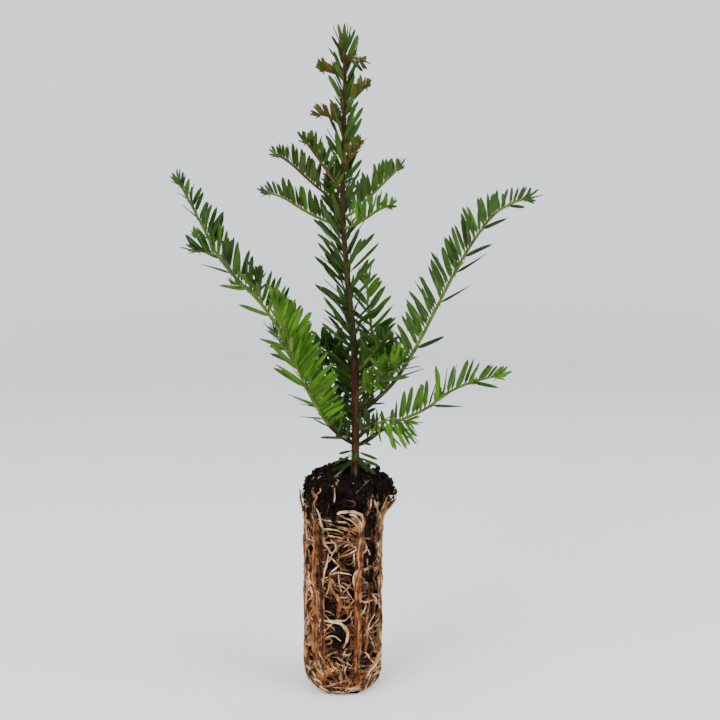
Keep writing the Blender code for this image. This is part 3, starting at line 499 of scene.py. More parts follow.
# Front roots: the strongest ones of the three sides in view, each as its tone, its radius and the
# pixels of the photo that it passes.
photo_middle = 360.0
photo_focus = 1000.0
front_low = 0.9
thick_root = 0.75
strand_kinds = ("orange", "tan", "rust")
front_roots = (
    ("rust", 1.05, (317, 517), (318, 529), (318.5, 548), (316.5, 575), (318.5, 603), (318, 631), (319, 663),
     (320, 675)),
    ("orange", 0.95, (316, 523), (316.5, 536), (316, 560), (315, 575), (317.5, 591), (316.5, 615), (316, 647),
     (317.5, 667)),
    ("orange", 0.6, (319, 530), (319.5, 545), (318.5, 566), (317.5, 585), (319.5, 600), (318.5, 640),
     (319.5, 668)),
    # This umber root is painted shade: a dark root laid down the shaded groove between the left corner's
    # cords.
    ("umber", 0.9, (321, 537), (322, 552), (321.5, 575), (323, 590), (323.5, 615), (324, 631), (324.5, 657)),
    ("rust", 0.45, (323.5, 587), (324.5, 603), (324, 615), (324.5, 631), (325, 647), (325.5, 658)),
    ("pale", 0.5, (319.5, 508), (320.5, 513), (322, 521), (324, 532), (324.5, 540), (327, 546.5), (332, 553)),
    ("tan", 0.75, (323.5, 528), (324.3, 535), (325, 541), (327, 547)),
    ("pale", 0.45, (328.5, 553), (328.5, 557), (326, 567), (325.5, 577), (323.5, 584), (326.5, 588)),
    ("pale", 0.42, (331, 539.5), (335, 543.5), (335.5, 549), (331.5, 553), (328, 550)),
    ("pale", 0.85, (337, 512.5), (344, 511.5), (350, 511), (355, 511.5), (360, 515), (362, 521),
     (361.5, 528)),
    ("pale", 0.6, (349, 514), (354, 515), (358, 519), (360, 526), (360, 535)),
    ("tan", 0.7, (351, 517), (356, 520), (358.5, 527), (358.5, 537)),
    ("pale", 0.42, (337, 513.5), (344.5, 517.5), (351.5, 520.5), (356, 525), (358.5, 531)),
    ("pale", 0.46, (325.5, 519.5), (333, 520.5), (338.5, 521), (347, 522.5), (350, 525.5)),
    ("tan", 0.42, (327, 522), (335, 525), (344, 529), (351.5, 531), (356, 535)),
    ("pale", 0.42, (325.5, 528), (335, 529), (344, 532)),
    ("tan", 0.4, (339, 526), (346, 528), (353, 529), (357, 531)),
    ("rust", 0.4, (328, 532), (336, 533), (345, 535), (354, 538), (358, 541)),
    ("pale", 0.36, (328, 535), (338, 536.5), (344, 538)),
    ("orange", 0.5, (335, 539.5), (344, 540.3), (351.5, 542.5), (358.5, 542)),
    ("pale", 0.42, (344, 547), (348.5, 544), (354.5, 546.5), (356, 549), (351.5, 552), (345.5, 555),
     (340, 557)),
    ("tan", 0.4, (336, 552), (339.5, 545.5), (344, 542.5), (350, 541)),
    ("rust", 0.85, (361, 530), (360, 545), (359.5, 560), (357.5, 572), (357.5, 590), (358.5, 620), (357, 645),
     (356.5, 670), (357, 684)),
    ("orange", 0.75, (362.5, 521), (361.5, 537), (361, 552), (360, 567), (357, 580), (356, 600), (358, 623),
     (357.5, 645), (355.5, 665), (356, 684)),
    ("umber", 0.8, (359, 533), (358, 560), (356, 590), (357, 620), (356, 650), (355, 680)),
    ("tan", 0.45, (362.5, 530), (361.8, 550), (359.2, 575), (359, 600), (359.6, 630), (358.4, 660),
     (358, 684)),
    ("rust", 0.6, (356.5, 560), (355.5, 590), (355, 615), (355.5, 640), (354, 665), (354, 682)),
    ("tan", 0.65, (359, 531), (359, 545), (357.5, 556), (358.5, 567), (355, 575), (354.5, 583)),
    ("orange", 0.6, (360.5, 570), (360, 591), (359.5, 607), (360, 623), (360.5, 639), (358.5, 651)),
    ("pale", 0.42, (354.5, 552), (353.5, 558), (354.5, 565)),
    ("pale", 0.5, (358.5, 567), (354.5, 574), (353, 580), (354, 585), (357, 592.5)),
    ("pale", 0.45, (330, 573), (336, 567), (341, 564)),
    ("pale", 0.42, (330, 574), (338, 572), (346, 573), (352, 575)),
    ("pale", 0.4, (328.5, 556), (333.5, 559.5), (339.5, 565.5), (341, 570)),
    ("rust", 0.5, (338, 559), (341, 566), (345, 569.5), (350, 570)),
    ("pale", 0.42, (329, 576), (323.5, 578), (323.5, 585), (326.5, 588)),
    ("orange", 0.75, (329.5, 573), (331, 585), (334.5, 593.5), (340, 602), (344, 607), (351, 605)),
    ("orange", 0.95, (336, 593), (339.5, 601), (338.5, 609), (338, 616.5)),
    ("tan", 0.6, (341, 603), (340, 610), (337, 617)),
    ("tan", 0.45, (325, 608.5), (325, 599), (328, 589.5), (330, 580)),
    ("pale", 0.38, (331, 578), (336.5, 585), (343, 586), (348, 592), (353, 599)),
    ("tan", 0.5, (342.5, 582), (349, 585.5), (353, 588.5), (355, 592)),
    ("pale", 0.4, (340, 596.5), (345, 597), (348, 596.5)),
    ("pale", 0.45, (325.5, 614), (331, 619.5), (337, 619.5), (345, 619.5), (349, 615), (353, 608.5)),
    ("tan", 0.4, (344, 607), (348, 612), (346, 618)),
    ("pale", 0.78, (325.5, 619.5), (333, 621), (340, 622.5), (345, 627), (347.5, 633), (347, 641),
     (343, 647.5)),
    ("pale", 0.35, (326.5, 623.5), (332, 626), (335, 630)),
    ("pale", 0.4, (326.5, 636.5), (331.5, 635), (337, 636.5), (341.5, 640)),
    ("tan", 0.5, (327, 656), (332, 652.5), (337.5, 651.5)),
    ("orange", 0.6, (328, 658.5), (332, 665), (337, 673), (341.5, 678.5), (346.5, 683.5)),
    ("rust", 0.6, (331.5, 658.5), (338.5, 666.5), (344, 673), (348, 680)),
    ("orange", 0.6, (327, 659.5), (331, 670.5), (336, 678.5), (342.5, 684)),
    ("pale", 0.42, (329.5, 659), (334.5, 667), (340, 675), (345, 681)),
    ("orange", 0.7, (325, 656), (325.5, 662), (327, 668), (326.5, 678)),
    ("pale", 0.45, (337, 656.5), (343, 661), (348, 662.5), (352, 666.5)),
    ("pale", 0.42, (348, 662), (345, 669), (346.5, 677), (351, 682.5)),
    ("pale", 0.65, (345, 690), (349.5, 687), (356, 686), (362, 684)),
    ("tan", 0.42, (328, 679.5), (333, 684), (337, 690)),
    ("pale", 0.3, (342.5, 654), (349, 654)),
    ("rust", 0.5, (344, 650), (349, 648), (351, 640), (350, 632)),
    ("tan", 0.45, (349, 628), (352, 622), (351, 615), (353, 607)),
    ("pale", 0.42, (305, 501), (309, 507.5), (313.5, 515), (316.5, 523.5)),
    ("tan", 0.85, (305, 516), (309.5, 520.5), (314, 526.5), (317, 533.5)),
    ("pale", 0.38, (306.5, 523.5), (308.5, 530), (309, 536.5), (312.5, 539.5), (316.5, 540)),
    ("rust", 0.6, (305, 536.5), (306.5, 546.5), (306, 556)),
    ("orange", 0.42, (315, 556.5), (311, 556.5), (311.5, 562), (315.5, 565)),
    ("pale", 0.42, (305, 567), (308, 575), (312, 581.5), (309.5, 586), (309, 599), (309.5, 611), (311, 622)),
    ("orange", 0.6, (303.5, 488), (304.5, 500), (304, 513.5)),
    ("rust", 0.65, (304.5, 575), (305, 591), (305.8, 607), (304.6, 623)),
    ("tan", 0.65, (304.6, 623), (305, 639), (306, 655), (307, 668)),
    ("pale", 0.38, (307.5, 627), (309.5, 637), (313, 645)),
    ("orange", 0.7, (310.5, 623), (313.5, 631), (315, 643), (316, 655), (317, 667)),
    ("tan", 0.5, (307, 640), (309.5, 652), (311, 664), (315, 674)),
    ("orange", 0.5, (313, 590), (315.5, 600), (314, 612), (315.5, 625)),
    ("tan", 0.7, (304.5, 657), (306, 667), (310.5, 673), (317, 679)),
    ("pale", 0.3, (367, 498), (367, 506), (366, 512), (364, 516.5)),
    ("pale", 0.65, (397.5, 494), (392, 495), (387, 495)),
    ("pale", 0.95, (398, 496.5), (391, 503), (384.5, 510), (381.5, 518), (381, 529), (380, 544), (380, 560),
     (379.5, 575)),
    ("tan", 0.8, (395, 497), (388, 504), (382.5, 511), (379.5, 520), (379, 532), (378, 546), (378.5, 562)),
    ("tan", 0.42, (384, 500), (380, 509), (375.5, 516.5), (374.5, 522.5), (377.5, 527.5)),
    ("pale", 0.4, (377.5, 533.5), (376, 539), (374.5, 544)),
    ("pale", 0.32, (364, 538), (369, 539)),
    ("pale", 0.36, (365.5, 549), (369, 555)),
    ("tan", 0.4, (377.5, 559.5), (374.5, 565.5), (372.5, 573)),
    ("tan", 0.45, (366, 558), (367, 567), (367.5, 575)),
    ("orange", 0.6, (367, 593), (366.3, 607), (365, 619.5), (364, 631), (365.5, 639), (364.5, 650),
     (366.5, 656)),
    ("pale", 0.38, (364.8, 631), (369, 620), (373, 612)),
    ("pale", 0.36, (364.8, 631), (370, 626), (377, 617)),
    ("tan", 0.4, (364.8, 631), (371, 632), (379, 628)),
    ("pale", 0.36, (364.8, 631), (369, 638), (372, 647)),
    ("pale", 0.4, (369.5, 592.5), (375, 600.5), (380, 608.5)),
    ("tan", 0.5, (367, 593), (373, 594), (380.5, 593)),
    ("pale", 0.7, (381.5, 580), (381.5, 599), (381, 623), (379.5, 647), (377.5, 662)),
    ("tan", 0.7, (379, 585), (379, 604), (378, 625), (377.5, 645)),
    ("pale", 0.45, (363.5, 651.5), (368.5, 658.5), (373.5, 664)),
    ("pale", 0.65, (378, 657), (372, 665), (366, 673), (362, 679)),
    ("tan", 0.6, (377.5, 667), (369, 680), (359, 686)),
    ("orange", 0.5, (372, 650), (376, 655), (373, 662), (369, 666)),
    ("orange", 0.55, (315.5, 488.5), (318, 493), (320, 496), (318, 501.5), (319.5, 507.5)),
    ("orange", 0.5, (317.5, 487), (316, 491), (318.5, 495), (317, 499)),
    ("pale", 0.35, (321.5, 487.5), (322, 491), (320, 494)),
    ("pale", 0.4, (335, 487), (334.7, 492), (334.2, 497), (334, 502)),
    ("rust", 0.35, (365, 498), (367, 504), (363.5, 515), (364.8, 529)),
    ("tan", 0.35, (349, 491), (350, 494.5), (349.5, 498)),
)


def behind_pixel(x, y):
    """The azimuth and height of the root ball's side behind a pixel of the photo."""
    ray = camera.rotation_euler.to_matrix() @ Vector((x - photo_middle, photo_middle - y, -photo_focus))
    nearest = None
    for distance in range(1060, 1200):
        spot = camera.location / MM + ray * (distance * 0.0005)
        azimuth = (math.degrees(math.atan2(spot.y, spot.x)) - 90.0) % 360.0 + 90.0
        gap = math.hypot(spot.x, spot.y) - ball_radius(azimuth, min(max(spot.z, 0.0), rim_z))
        if nearest is None or gap < nearest[0]:
            nearest = (gap, azimuth, spot.z)
        if gap < 0.0:
            break
    return Vector((nearest[1], nearest[2]))


def with_ends(points):
    """The points, with one more beyond each end for the curve through them."""
    return [2 * points[0] - points[1], *points, 2 * points[-1] - points[-2]]


def between(a, b, c, d, t):
    """A point of a smooth curve through a, b, c and d, from b (0) to c (1)."""
    bend = (2 * a - 5 * b + 4 * c - d) * t ** 2 + (3 * b - a - 3 * c + d) * t ** 3
    return 0.5 * (2 * b + (c - a) * t + bend)


def eased(points, step):
    """Points at even steps along a smooth curve through some given ones."""
    ends = with_ends(points)
    found = []
    for a, b, c, d in zip(ends, ends[1:], ends[2:], ends[3:]):
        count = max(2, round((c - b).length / step))
        found += [between(a, b, c, d, i / count) for i in range(count)]
    found.append(points[-1].copy())
    return found


for k, (kind, radius, *pixels) in enumerate(front_roots):
    course = eased([behind_pixel(*pixel) for pixel in pixels], 1.6)
    lift = 0.55 + 0.22 * (k % 4) + 0.35 * radius
    waver = rng.uniform(0, 6)
    path = []
    for i, (azimuth, z) in enumerate(course):
        above = lift + 0.22 * math.sin(i * 0.55 + waver) + 1.1 * smooth(107.0, 114.0, z)
        path.append(over_ball(azimuth + 0.5 * math.sin(i * 0.8 + waver), max(z, front_low), above))
    grow_root(kind, path, radius, 8 if radius > 0.6 else 6)
    for side in (-1, 1) if radius > thick_root else ():
        strand = []
        for i, (azimuth, z) in enumerate(course[rng.randrange(1, 5) :]):
            off = side * (radius * 2.3 + 0.9 * math.sin(i * 0.21 + waver + side))
            strand.append(over_ball(azimuth + off, max(z, front_low), 0.3 + 0.3 * math.sin(i * 0.3 + waver)))
        grow_root(strand_kinds[k % 3], strand, radius * 0.42)

# Cords of the sides away from the front: several strands twine down each side of a corner's groove,
# and thinner roots leave them for the faces. A strand is its tone, its distance from the groove in
# degrees beyond the nearest one, and its radius.
groove_side = 6.4
cord_strands = (
    ("rust", 0.0, 1.0), ("orange", 2.4, 0.75), ("tan", 4.6, 0.5), ("rust", 1.2, 0.42), ("pale", 3.6, 0.38),
)
leaving_roots = 11
for k in range(6):
    for side in (-1, 1):
        if 230 < 60 * k + side < 310:
            continue
        for j, (kind, aside, radius) in enumerate(cord_strands):
            top = rng.uniform(96, 112)
            path = []
            sway = rng.uniform(0, 6)
            steps = int((top - 3.0) / 2.2)
            for i in range(steps + 1):
                z = top - (top - 3.0) * i / steps
                twine = 2.6 * math.sin(i * 0.13 + sway) + 1.3 * math.sin(i * 0.41 + sway * 2)
                off = side * (groove_side + aside + twine * (0.5 if j == 0 else 1.0))
                above = 0.4 + 0.35 * (j % 3) + 0.35 * math.sin(i * 0.3 + j * 2)
                path.append(over_ball(60.0 * k + off, z, above))
            grow_root(kind, path, radius * rng.uniform(0.85, 1.1), 8 if j < 2 else 6)
        for j in range(leaving_roots):
            heading = 270 + side * rng.uniform(15, 75) if j % 3 else 90 - side * rng.uniform(10, 60)
            reach = rng.uniform(12, 34)
            bend = rng.choice((4, 8, 13))
            z = rng.uniform(14, 96)
            path = root_walk(rng, 60.0 * k + side * 6.0, z, heading, reach, bend, rng.uniform(0.5, 1.2))
            grow_root(rng.choice(("tan", "pale", "rust", "orange", "umber")), path, rng.uniform(0.3, 0.62))

# Rings: on the sides and the back, pale roots bend round windows as they do on the front.
ring_points = 20
ring_turn = 210
for j, (azimuth, z, size) in enumerate(windows[front_windows:]):
    if 188 < azimuth % 360 < 352:
        continue
    path = []
    start = rng.uniform(0, 360)
    for i in range(ring_points):
        turn = math.radians(start + ring_turn * i / (ring_points - 1))
        aside = (size + 1.0) * math.cos(turn) / degree_width
        above = (size + 1.0) * math.sin(turn)
        path.append(over_ball(azimuth + aside, z + above, 1.3 + 0.2 * math.sin(i * 0.6)))
    grow_root(("pale", "tan")[j % 2], path, rng.uniform(0.4, 0.7))

# Knots: places where a root branched into many, as (azimuth, height, strands, first heading,
# spread of the headings).
knots = (
    (120, 60, 8, 0, 330), (65, 30, 8, 0, 330), (20, 70, 7, 30, 300), (175, 90, 7, 0, 330),
    (95, 92, 7, 0, 330), (150, 26, 8, 0, 330), (40, 52, 7, 0, 330), (206, 44, 6, -120, 240),
    (345, 74, 6, 100, 160),
)
for azimuth, z, strands, first, spread in knots:
    for j in range(strands):
        heading = first + spread * j / strands + rng.uniform(-9, 9)
        path = root_walk(rng, azimuth, z, heading, rng.uniform(12, 26), 5, 0.9 + 0.25 * (j % 3))
        grow_root(("pale", "tan", "orange")[j % 3], path, rng.uniform(0.34, 0.6))

# Web: lighter roots over the undergrowth, which loop between the cords. Those of the sides in view
# are shorter and thinner, because these sides have the front roots too.
web_count = 330
for i in range(web_count):
    azimuth = rng.uniform(0, 360)
    z = rng.uniform(5, 106)
    if window_depth(azimuth, z) > 0.05:
        continue
    in_view = 200 < azimuth < 352
    heading = rng.uniform(0, 360)
    bend = rng.choice((6, 11, 17))
    reach = rng.uniform(7, 18) if in_view else rng.uniform(12, 36)
    layer = rng.uniform(0.4, 0.8) if in_view else rng.uniform(0.5, 1.5)
    path = root_walk(rng, azimuth, z, heading, reach, bend, layer)
    kind = rng.choice(("tan", "rust", "orange", "umber", "pale"))
    grow_root(kind, path, rng.uniform(0.22, 0.4) if in_view else rng.uniform(0.26, 0.56))

# Foot: a mat of paler roots that turned at the tray's bottom.
foot_count = 340
for i in range(foot_count):
    heading = rng.choice((rng.uniform(-30, 30), rng.uniform(150, 210), rng.uniform(200, 340)))
    azimuth = rng.uniform(0, 360)
    z = 1.4 + 18 * rng.random() ** 1.9
    pull = rng.choice((None, 180, 0, 270))
    reach = rng.uniform(8, 22)
    path = root_walk(rng, azimuth, z, heading, reach, rng.choice((7, 13)), rng.uniform(0.2, 1.3), pull)
    grow_root(rng.choice(("tan", "pale", "orange", "rust", "umber")), path, rng.uniform(0.22, 0.5))

# Lip: roots that ran up the side and were torn loose with the rim.
lip_count = 30
for i in range(lip_count):
    azimuth = rng.uniform(-12, 26)
    z = rng.uniform(56, 100)
    heading = 90 + rng.uniform(-14, 14)
    path = root_walk(rng, azimuth, z, heading, rng.uniform(24, 56), 6, rng.uniform(0.3, 1.1), 92)
    grow_root(rng.choice(("tan", "pale", "umber", "orange")), path, rng.uniform(0.26, 0.55))

# Threads: hair-fine feeding roots over everything, also over the bare peat below the rim.
thread_count = 760
for i in range(thread_count):
    azimuth = rng.uniform(0, 360)
    z = 3 + 116 * rng.random() ** 0.9
    if window_depth(azimuth, z) > 0.35 and z < 104:
        continue
    path = root_walk(rng, azimuth, z, rng.uniform(0, 360), rng.uniform(5, 17), 18, rng.uniform(0.2, 1.6))
    grow_root("thread", path, rng.uniform(0.09, 0.18), 4)


def root_finish(label, dark, light):
    """A smooth fibrous skin, streaked between two browns."""
    relief = (0.5, 0.0002, 1400.0, 3.0)
    return grown_finish(label, dark, light, 0.62, 0.14, (190.0, 5.0), (0.39, 0.62), relief)


root_tones = {
    "umber": ((0.008, 0.0018, 0.0005), (0.068, 0.016, 0.004)),
    "rust": ((0.026, 0.006, 0.001), (0.150, 0.040, 0.009)),
    "orange": ((0.060, 0.016, 0.003), (0.345, 0.130, 0.034)),
    "tan": ((0.062, 0.026, 0.008), (0.340, 0.180, 0.074)),
    "pale": ((0.205, 0.110, 0.048), (0.640, 0.450, 0.260)),
    "thread": ((0.060, 0.026, 0.010), (0.300, 0.180, 0.090)),
}
for kind, (dark, light) in root_tones.items():
    roots = joined("roots_" + kind, root_shapes[kind], [root_finish("root_" + kind, dark, light)], 60)
    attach(roots, "root")
    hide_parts("root_web")

# Stem: one upright woody shoot, flared where it leaves the peat, with a swollen ring of old bud
# scars low down. The bark is flaky and red-brown at the foot, and green-streaked where younger.
stem_axis = [
    (7.3, 0.0, 124.0), (7.6, -0.6, 165.0), (6.6, 0.4, 205.0), (3.0, 1.0, 242.0), (0.4, 0.4, 280.0),
    (1.2, -0.5, 318.0), (1.9, 0.2, 372.0),
]
stem_radius = [
    (124.0, 3.5), (126.5, 2.9), (130.0, 2.45), (140.0, 2.3), (184.0, 2.1), (188.0, 2.7), (192.0, 2.6),
    (196.0, 1.95), (240.0, 1.7), (266.0, 1.55), (272.0, 1.75), (300.0, 1.35), (340.0, 1.15), (366.0, 0.95),
]
stem_low = 124.0
stem_tip = 366.0
stem_rings = 420
scars_low = 185.5
scars_high = 194.5


def stem_point(z):
    """The stem's axis at a height, as a smooth curve through its named points."""
    axis = with_ends([Vector(place) for place in stem_axis])
    i = 1
    while i < len(axis) - 3 and z > axis[i + 1].z:
        i += 1
    a, b, c, d = axis[i - 1 : i + 3]
    point = between(a, b, c, d, (z - b.z) / (c.z - b.z))
    return Vector((point.x, point.y, z))


def barked(path, radii, sides, flake, seed):
    """A round bar whose skin is broken into upright flakes and cracks of this depth."""
    points, faces = tube(path, radii, sides)
    length = 0.0
    for i, centre in enumerate(path):
        if i:
            length += (path[i] - path[i - 1]).length
        for k in range(sides):
            turn = 2 * math.pi * k / sides
            spot = Vector((math.cos(turn) * 1.6, math.sin(turn) * 1.6, length * 0.28 + seed))
            plate = noise.noise(spot * 1.5)
            crack = abs(noise.noise(Vector((spot.x * 2.2, spot.y * 2.2, spot.z * 0.8 + 30))))
            fine = noise.noise(spot * 5.0)
            depth = flake * (0.55 * plate + 0.25 * fine - 0.5 * max(0.0, 0.16 - crack) / 0.16)
            at = i * sides + k
            out = points[at] - np.array(centre)
            points[at] = points[at] + out / max(np.linalg.norm(out), 1e-9) * depth
    return points, faces


def bark_finish(label, stops, streak_dark, streak):
    """Bark whose colour runs with height through the stops, with darker upright streaks."""
    finish = bpy.data.materials.new(label)
    finish.use_nodes = True
    tree = finish.node_tree
    where = tree.nodes.new("ShaderNodeTexCoord").outputs["Object"]
    up = wired(tree, "SeparateXYZ", Vector=where).outputs["Z"]
    height = wired(tree, "MapRange", Value=up, From_Min=stem_low * MM, From_Max=stem_tip * MM)
    stretch = wired(tree, "Mapping", Vector=where, Scale=(900.0, 900.0, 150.0))
    grain = wired(tree, "TexNoise", Vector=stretch.outputs["Vector"], Scale=1.0, Detail=6.0).outputs["Fac"]
    contrast = wired(tree, "MapRange", Value=grain, From_Min=0.42, From_Max=0.62, To_Max=streak)
    mix = tree.nodes.new("ShaderNodeMix")
    mix.data_type = "RGBA"
    plain = toned(tree, height.outputs["Result"], stops)
    wired(tree, mix, Factor=contrast.outputs["Result"], A=plain, B=(*streak_dark, 1.0))
    bump = wired(tree, "Bump", Strength=0.7, Distance=0.0003, Height=grain)
    shader = wired(tree, tree.nodes["Principled BSDF"], Roughness=0.8, Specular_IOR_Level=0.15)
    wired(tree, shader, Base_Color=mix.outputs["Result"], Normal=bump.outputs["Normal"])
    return finish


stem_bark = bark_finish(
    "stem_bark",
    [
        (0.0, (0.050, 0.014, 0.004)), (0.2, (0.074, 0.024, 0.007)), (0.27, (0.034, 0.015, 0.003)),
        (0.34, (0.022, 0.022, 0.002)), (0.50, (0.034, 0.026, 0.003)), (0.62, (0.036, 0.018, 0.003)),
        (0.72, (0.044, 0.016, 0.003)), (1.0, (0.064, 0.022, 0.005)),
    ],
    (0.009, 0.004, 0.002),
    0.75,
)
stem_levels = [stem_low + (stem_tip - stem_low) * i / stem_rings for i in range(stem_rings + 1)]
stem_path = [stem_point(z) for z in stem_levels]
stem_girth = []
for z in stem_levels:
    ring = 0.16 * math.sin(z * 2.9) if scars_low < z < scars_high else 0.0
    stem_girth.append(along(stem_radius, z) + ring)
stem = joined("stem_bark", [barked(stem_path, stem_girth, 40, 0.26, 2.0)], [stem_bark], 60)
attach(stem, "root")
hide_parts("stem")

# Side shoots: each leaves the stem at a slant and turns up towards the light. The big ones start
# with a bare brown length, their bough, and the rest is thin and clothed with needles.
plain_shoot = dict(turn=0, bare=0, lean=(62, 42), fold=0, twigs=())

# A row gives where a shoot leaves the stem, its azimuth and how far that turns, its rise above level
# along it, its length, bare length and thickness, and its needles: their size, gap, lean from foot to
# tip, and ranks, which are their angles about the shoot from level. Its fold is how much further
# forward the needles on its underside lie. A side twig is its share of the way along, its azimuth,
# rise and length. What a row leaves out is that of a plain shoot.
shoots = [
    dict(
        name="left_long", z=150, az=172, turn=-14, rise=(20, 65, 62, 40, 62, 58),
        length=185, bare=24, thick=1.35, needle=20, gap=1.75, lean=(64, 44), fold=16, tone="mid",
        ranks=(82, 62, 108, 286, 146, 74, 96, 40, 124, 84),
        twigs=(
            (0.8, 178, 4, 8), (0.735, 184, 10, 13), (0.6, 176, 14, 8), (0.55, 20, 76, 12),
            (0.34, 150, 40, 16),
        ),
    ),
    dict(
        name="left_front", z=145.5, az=216, turn=-8, rise=(23, 52, 63, 74, 67),
        length=102, bare=22, thick=1.2, needle=21, gap=1.55, lean=(90, 28), fold=34, tone="bright",
        ranks=(118, 96, 288, 130, 104, 142, 124, 300, 112, 150),
        twigs=((0.5, 196, 66, 28),),
    ),
    dict(
        name="right_long", z=165, az=6, turn=14, rise=(22, 56, 63, 61, 52, 8),
        length=166, bare=16, thick=1.35, needle=20, gap=2.15, lean=(66, 46), fold=20, tone="mid",
        ranks=(84, 66, 104, 76, 92, 118, 300, 80, 140, 98),
        twigs=((0.6, -75, 40, 8), (0.36, 172, 24, 9)),
    ),
    dict(
        name="right_low", z=144, az=-10, turn=10, rise=(32, 34, 22, 40, 20, 10),
        length=93, bare=16, thick=1.15, needle=18, gap=2.7, lean=(62, 40), fold=14, tone="light",
        ranks=(82, 102, 60, 92, 128, 70, 88, 288),
        twigs=((0.55, 40, 25, 9), (0.8, -45, 12, 7)),
    ),
    dict(
        name="right_droop", z=148, az=-52, turn=10, rise=(37, 33, 15, -3),
        length=47, bare=20, thick=1.0, needle=18, gap=1.35, lean=(80, 56), tone="bright",
        ranks=(258, 284, 240, 300, 270, 228, 314, 210),
    ),
    dict(
        name="right_mid", z=182, az=48, turn=20, rise=(-15, 88, 112, 83),
        length=72, thick=1.1, needle=18, gap=1.9, lean=(60, 42), tone="light",
        ranks=(328, 192, 312, 168, 344, 206, 2),
        twigs=((0.3, -30, 20, 15),),
    ),
    dict(
        name="right_front", z=175, az=-34, rise=(19, 35, 33, 50),
        length=40, thick=1.0, needle=17, gap=1.0, lean=(66, 42), tone="light",
        ranks=(178, 2, 150, 38, 202, 336, 92, 120),
        twigs=((0.45, -60, 40, 13),),
    ),
    # The dark tone of right_inner, left_inner, left_back and back_low is painted shade: it darkens the shoots
    # that sit at the back of the plant and in among its other shoots.
    dict(
        name="right_inner", z=187, az=-14, rise=(42, 50, 48, 53),
        length=28, thick=0.95, needle=15, gap=1.1, tone="dark",
        ranks=(58, 122, 0, 180, 90),
        twigs=((0.5, -60, 10, 12), (0.3, 60, 20, 14)),
    ),
    dict(
        name="left_inner", z=183, az=138, rise=(23, 45, 48, 55),
        length=30, thick=0.95, needle=17, gap=1.1, tone="dark",
        ranks=(58, 122, 0, 180, 90, 268),
        twigs=((0.4, 205, 10, 14), (0.7, 190, 30, 12)),
    ),
    dict(
        name="left_back", z=163, az=128, rise=(5, 33, 24, 19),
        length=44, thick=1.0, needle=17, gap=1.15, lean=(64, 44), tone="dark",
        ranks=(22, 158, 62, 120, 252, 2),
        twigs=((0.35, 190, 30, 16), (0.65, 185, 40, 14)),
    ),
    dict(
        name="back_low", z=152, az=88, turn=10, rise=(28, 36, 40, 34),
        length=84, bare=14, thick=1.15, needle=17, gap=1.6, lean=(64, 44), tone="dark",
        ranks=(30, 150, 4, 176, 90),
        twigs=((0.5, 140, 30, 10), (0.66, 40, 25, 9)),
    ),
    dict(
        name="back_high", z=279, az=94, rise=(30, 40, 40, 30),
        length=40, thick=0.9, needle=14, gap=1.4, tone="olive",
        ranks=(30, 150, 4, 176, 90),
    ),
    dict(
        name="upper_left_low", z=270, az=184, rise=(21, 24, 34, 10),
        length=48, thick=1.0, needle=13.5, gap=1.95, lean=(64, 44), tone="olive",
        ranks=(90, 112, 76, 98, 64, 84, 126, 94),
    ),
    dict(
        name="upper_left_mid", z=282, az=170, rise=(37, 37, 44, 25),
        length=49, thick=1.0, needle=13.5, gap=1.8, lean=(64, 44), tone="olive",
        ranks=(90, 114, 78, 66, 102, 84, 136),
    ),
    dict(
        name="upper_left_front", z=291, az=214, rise=(36, 51, 48, 45),
        length=37, thick=0.9, needle=13, gap=1.5, lean=(60, 42), tone="olive",
        ranks=(62, 132, 92, 40, 112, 78),
    ),
    dict(
        name="upper_right_high", z=276, az=6, rise=(21, 46, 44, 45),
        length=43, thick=1.0, needle=14, gap=1.85, tone="olive",
        ranks=(90, 66, 102, 78, 124, 96),
    ),
    dict(
        name="upper_right_low", z=270, az=-44, rise=(5, 22, 26, 8),
        length=38, thick=0.95, needle=13, gap=1.7, lean=(64, 42), tone="light",
        ranks=(60, 120, 92, 40, 80, 104),
    ),
    dict(
        name="tuft_right_low", z=302, az=-40, rise=(50, 52, 45),
        length=19, thick=0.85, needle=9.5, gap=0.95, lean=(60, 36), tone="bronze",
        ranks=(60, 120, 20, 160, 90),
    ),
    dict(
        name="tuft_left_low", z=324, az=188, rise=(60, 30, -8),
        length=19, thick=0.8, needle=8.5, gap=0.85, lean=(66, 36), tone="bronze",
        ranks=(84, 60, 112, 140, 100, 34),
    ),
    dict(
        name="tuft_right_mid", z=339, az=-8, rise=(15, 45, 40),
        length=17, thick=0.8, needle=8.5, gap=0.85, lean=(66, 34), tone="bronze",
        ranks=(84, 56, 116, 34, 140),
    ),
    dict(
        name="tuft_back", z=331, az=96, rise=(30, 40, 30),
        length=14, thick=0.8, needle=9, gap=0.95, lean=(60, 36), tone="bronze",
        ranks=(40, 140, 90, 0, 180),
    ),
    dict(
        name="tuft_left_high", z=354, az=186, rise=(15, 12, 20),
        length=14, thick=0.75, needle=8.5, gap=0.8, lean=(68, 34), tone="bronze",
        ranks=(84, 56, 118, 144, 100, 34),
    ),
    dict(
        name="tuft_right_high", z=361, az=-28, rise=(40, 10, -30),
        length=11, thick=0.7, needle=9.5, gap=0.85, lean=(66, 40), tone="bronze",
        ranks=(232, 200, 270, 330, 60, 250),
    ),
]
shoots = [{**plain_shoot, **shoot} for shoot in shoots]


def slant(az, rise):
    """The direction at this azimuth and angle above level, in degrees."""
    az = math.radians(az)
    rise = math.radians(rise)
    return Vector((math.cos(rise) * math.cos(az), math.cos(rise) * math.sin(az), math.sin(rise)))


def shoot_path(shoot, step=1.5):
    """Points along a shoot's axis, from the stem's axis out."""
    count = max(8, round(shoot["length"] / step))
    keys = [(k / (len(shoot["rise"]) - 1), rise) for k, rise in enumerate(shoot["rise"])]
    point = stem_point(shoot["z"])
    path = [point.copy()]
    for i in range(count):
        t = (i + 0.5) / count
        point = point + slant(shoot["az"] + shoot["turn"] * t, along(keys, t)) * (shoot["length"] / count)
        path.append(point.copy())
    return path


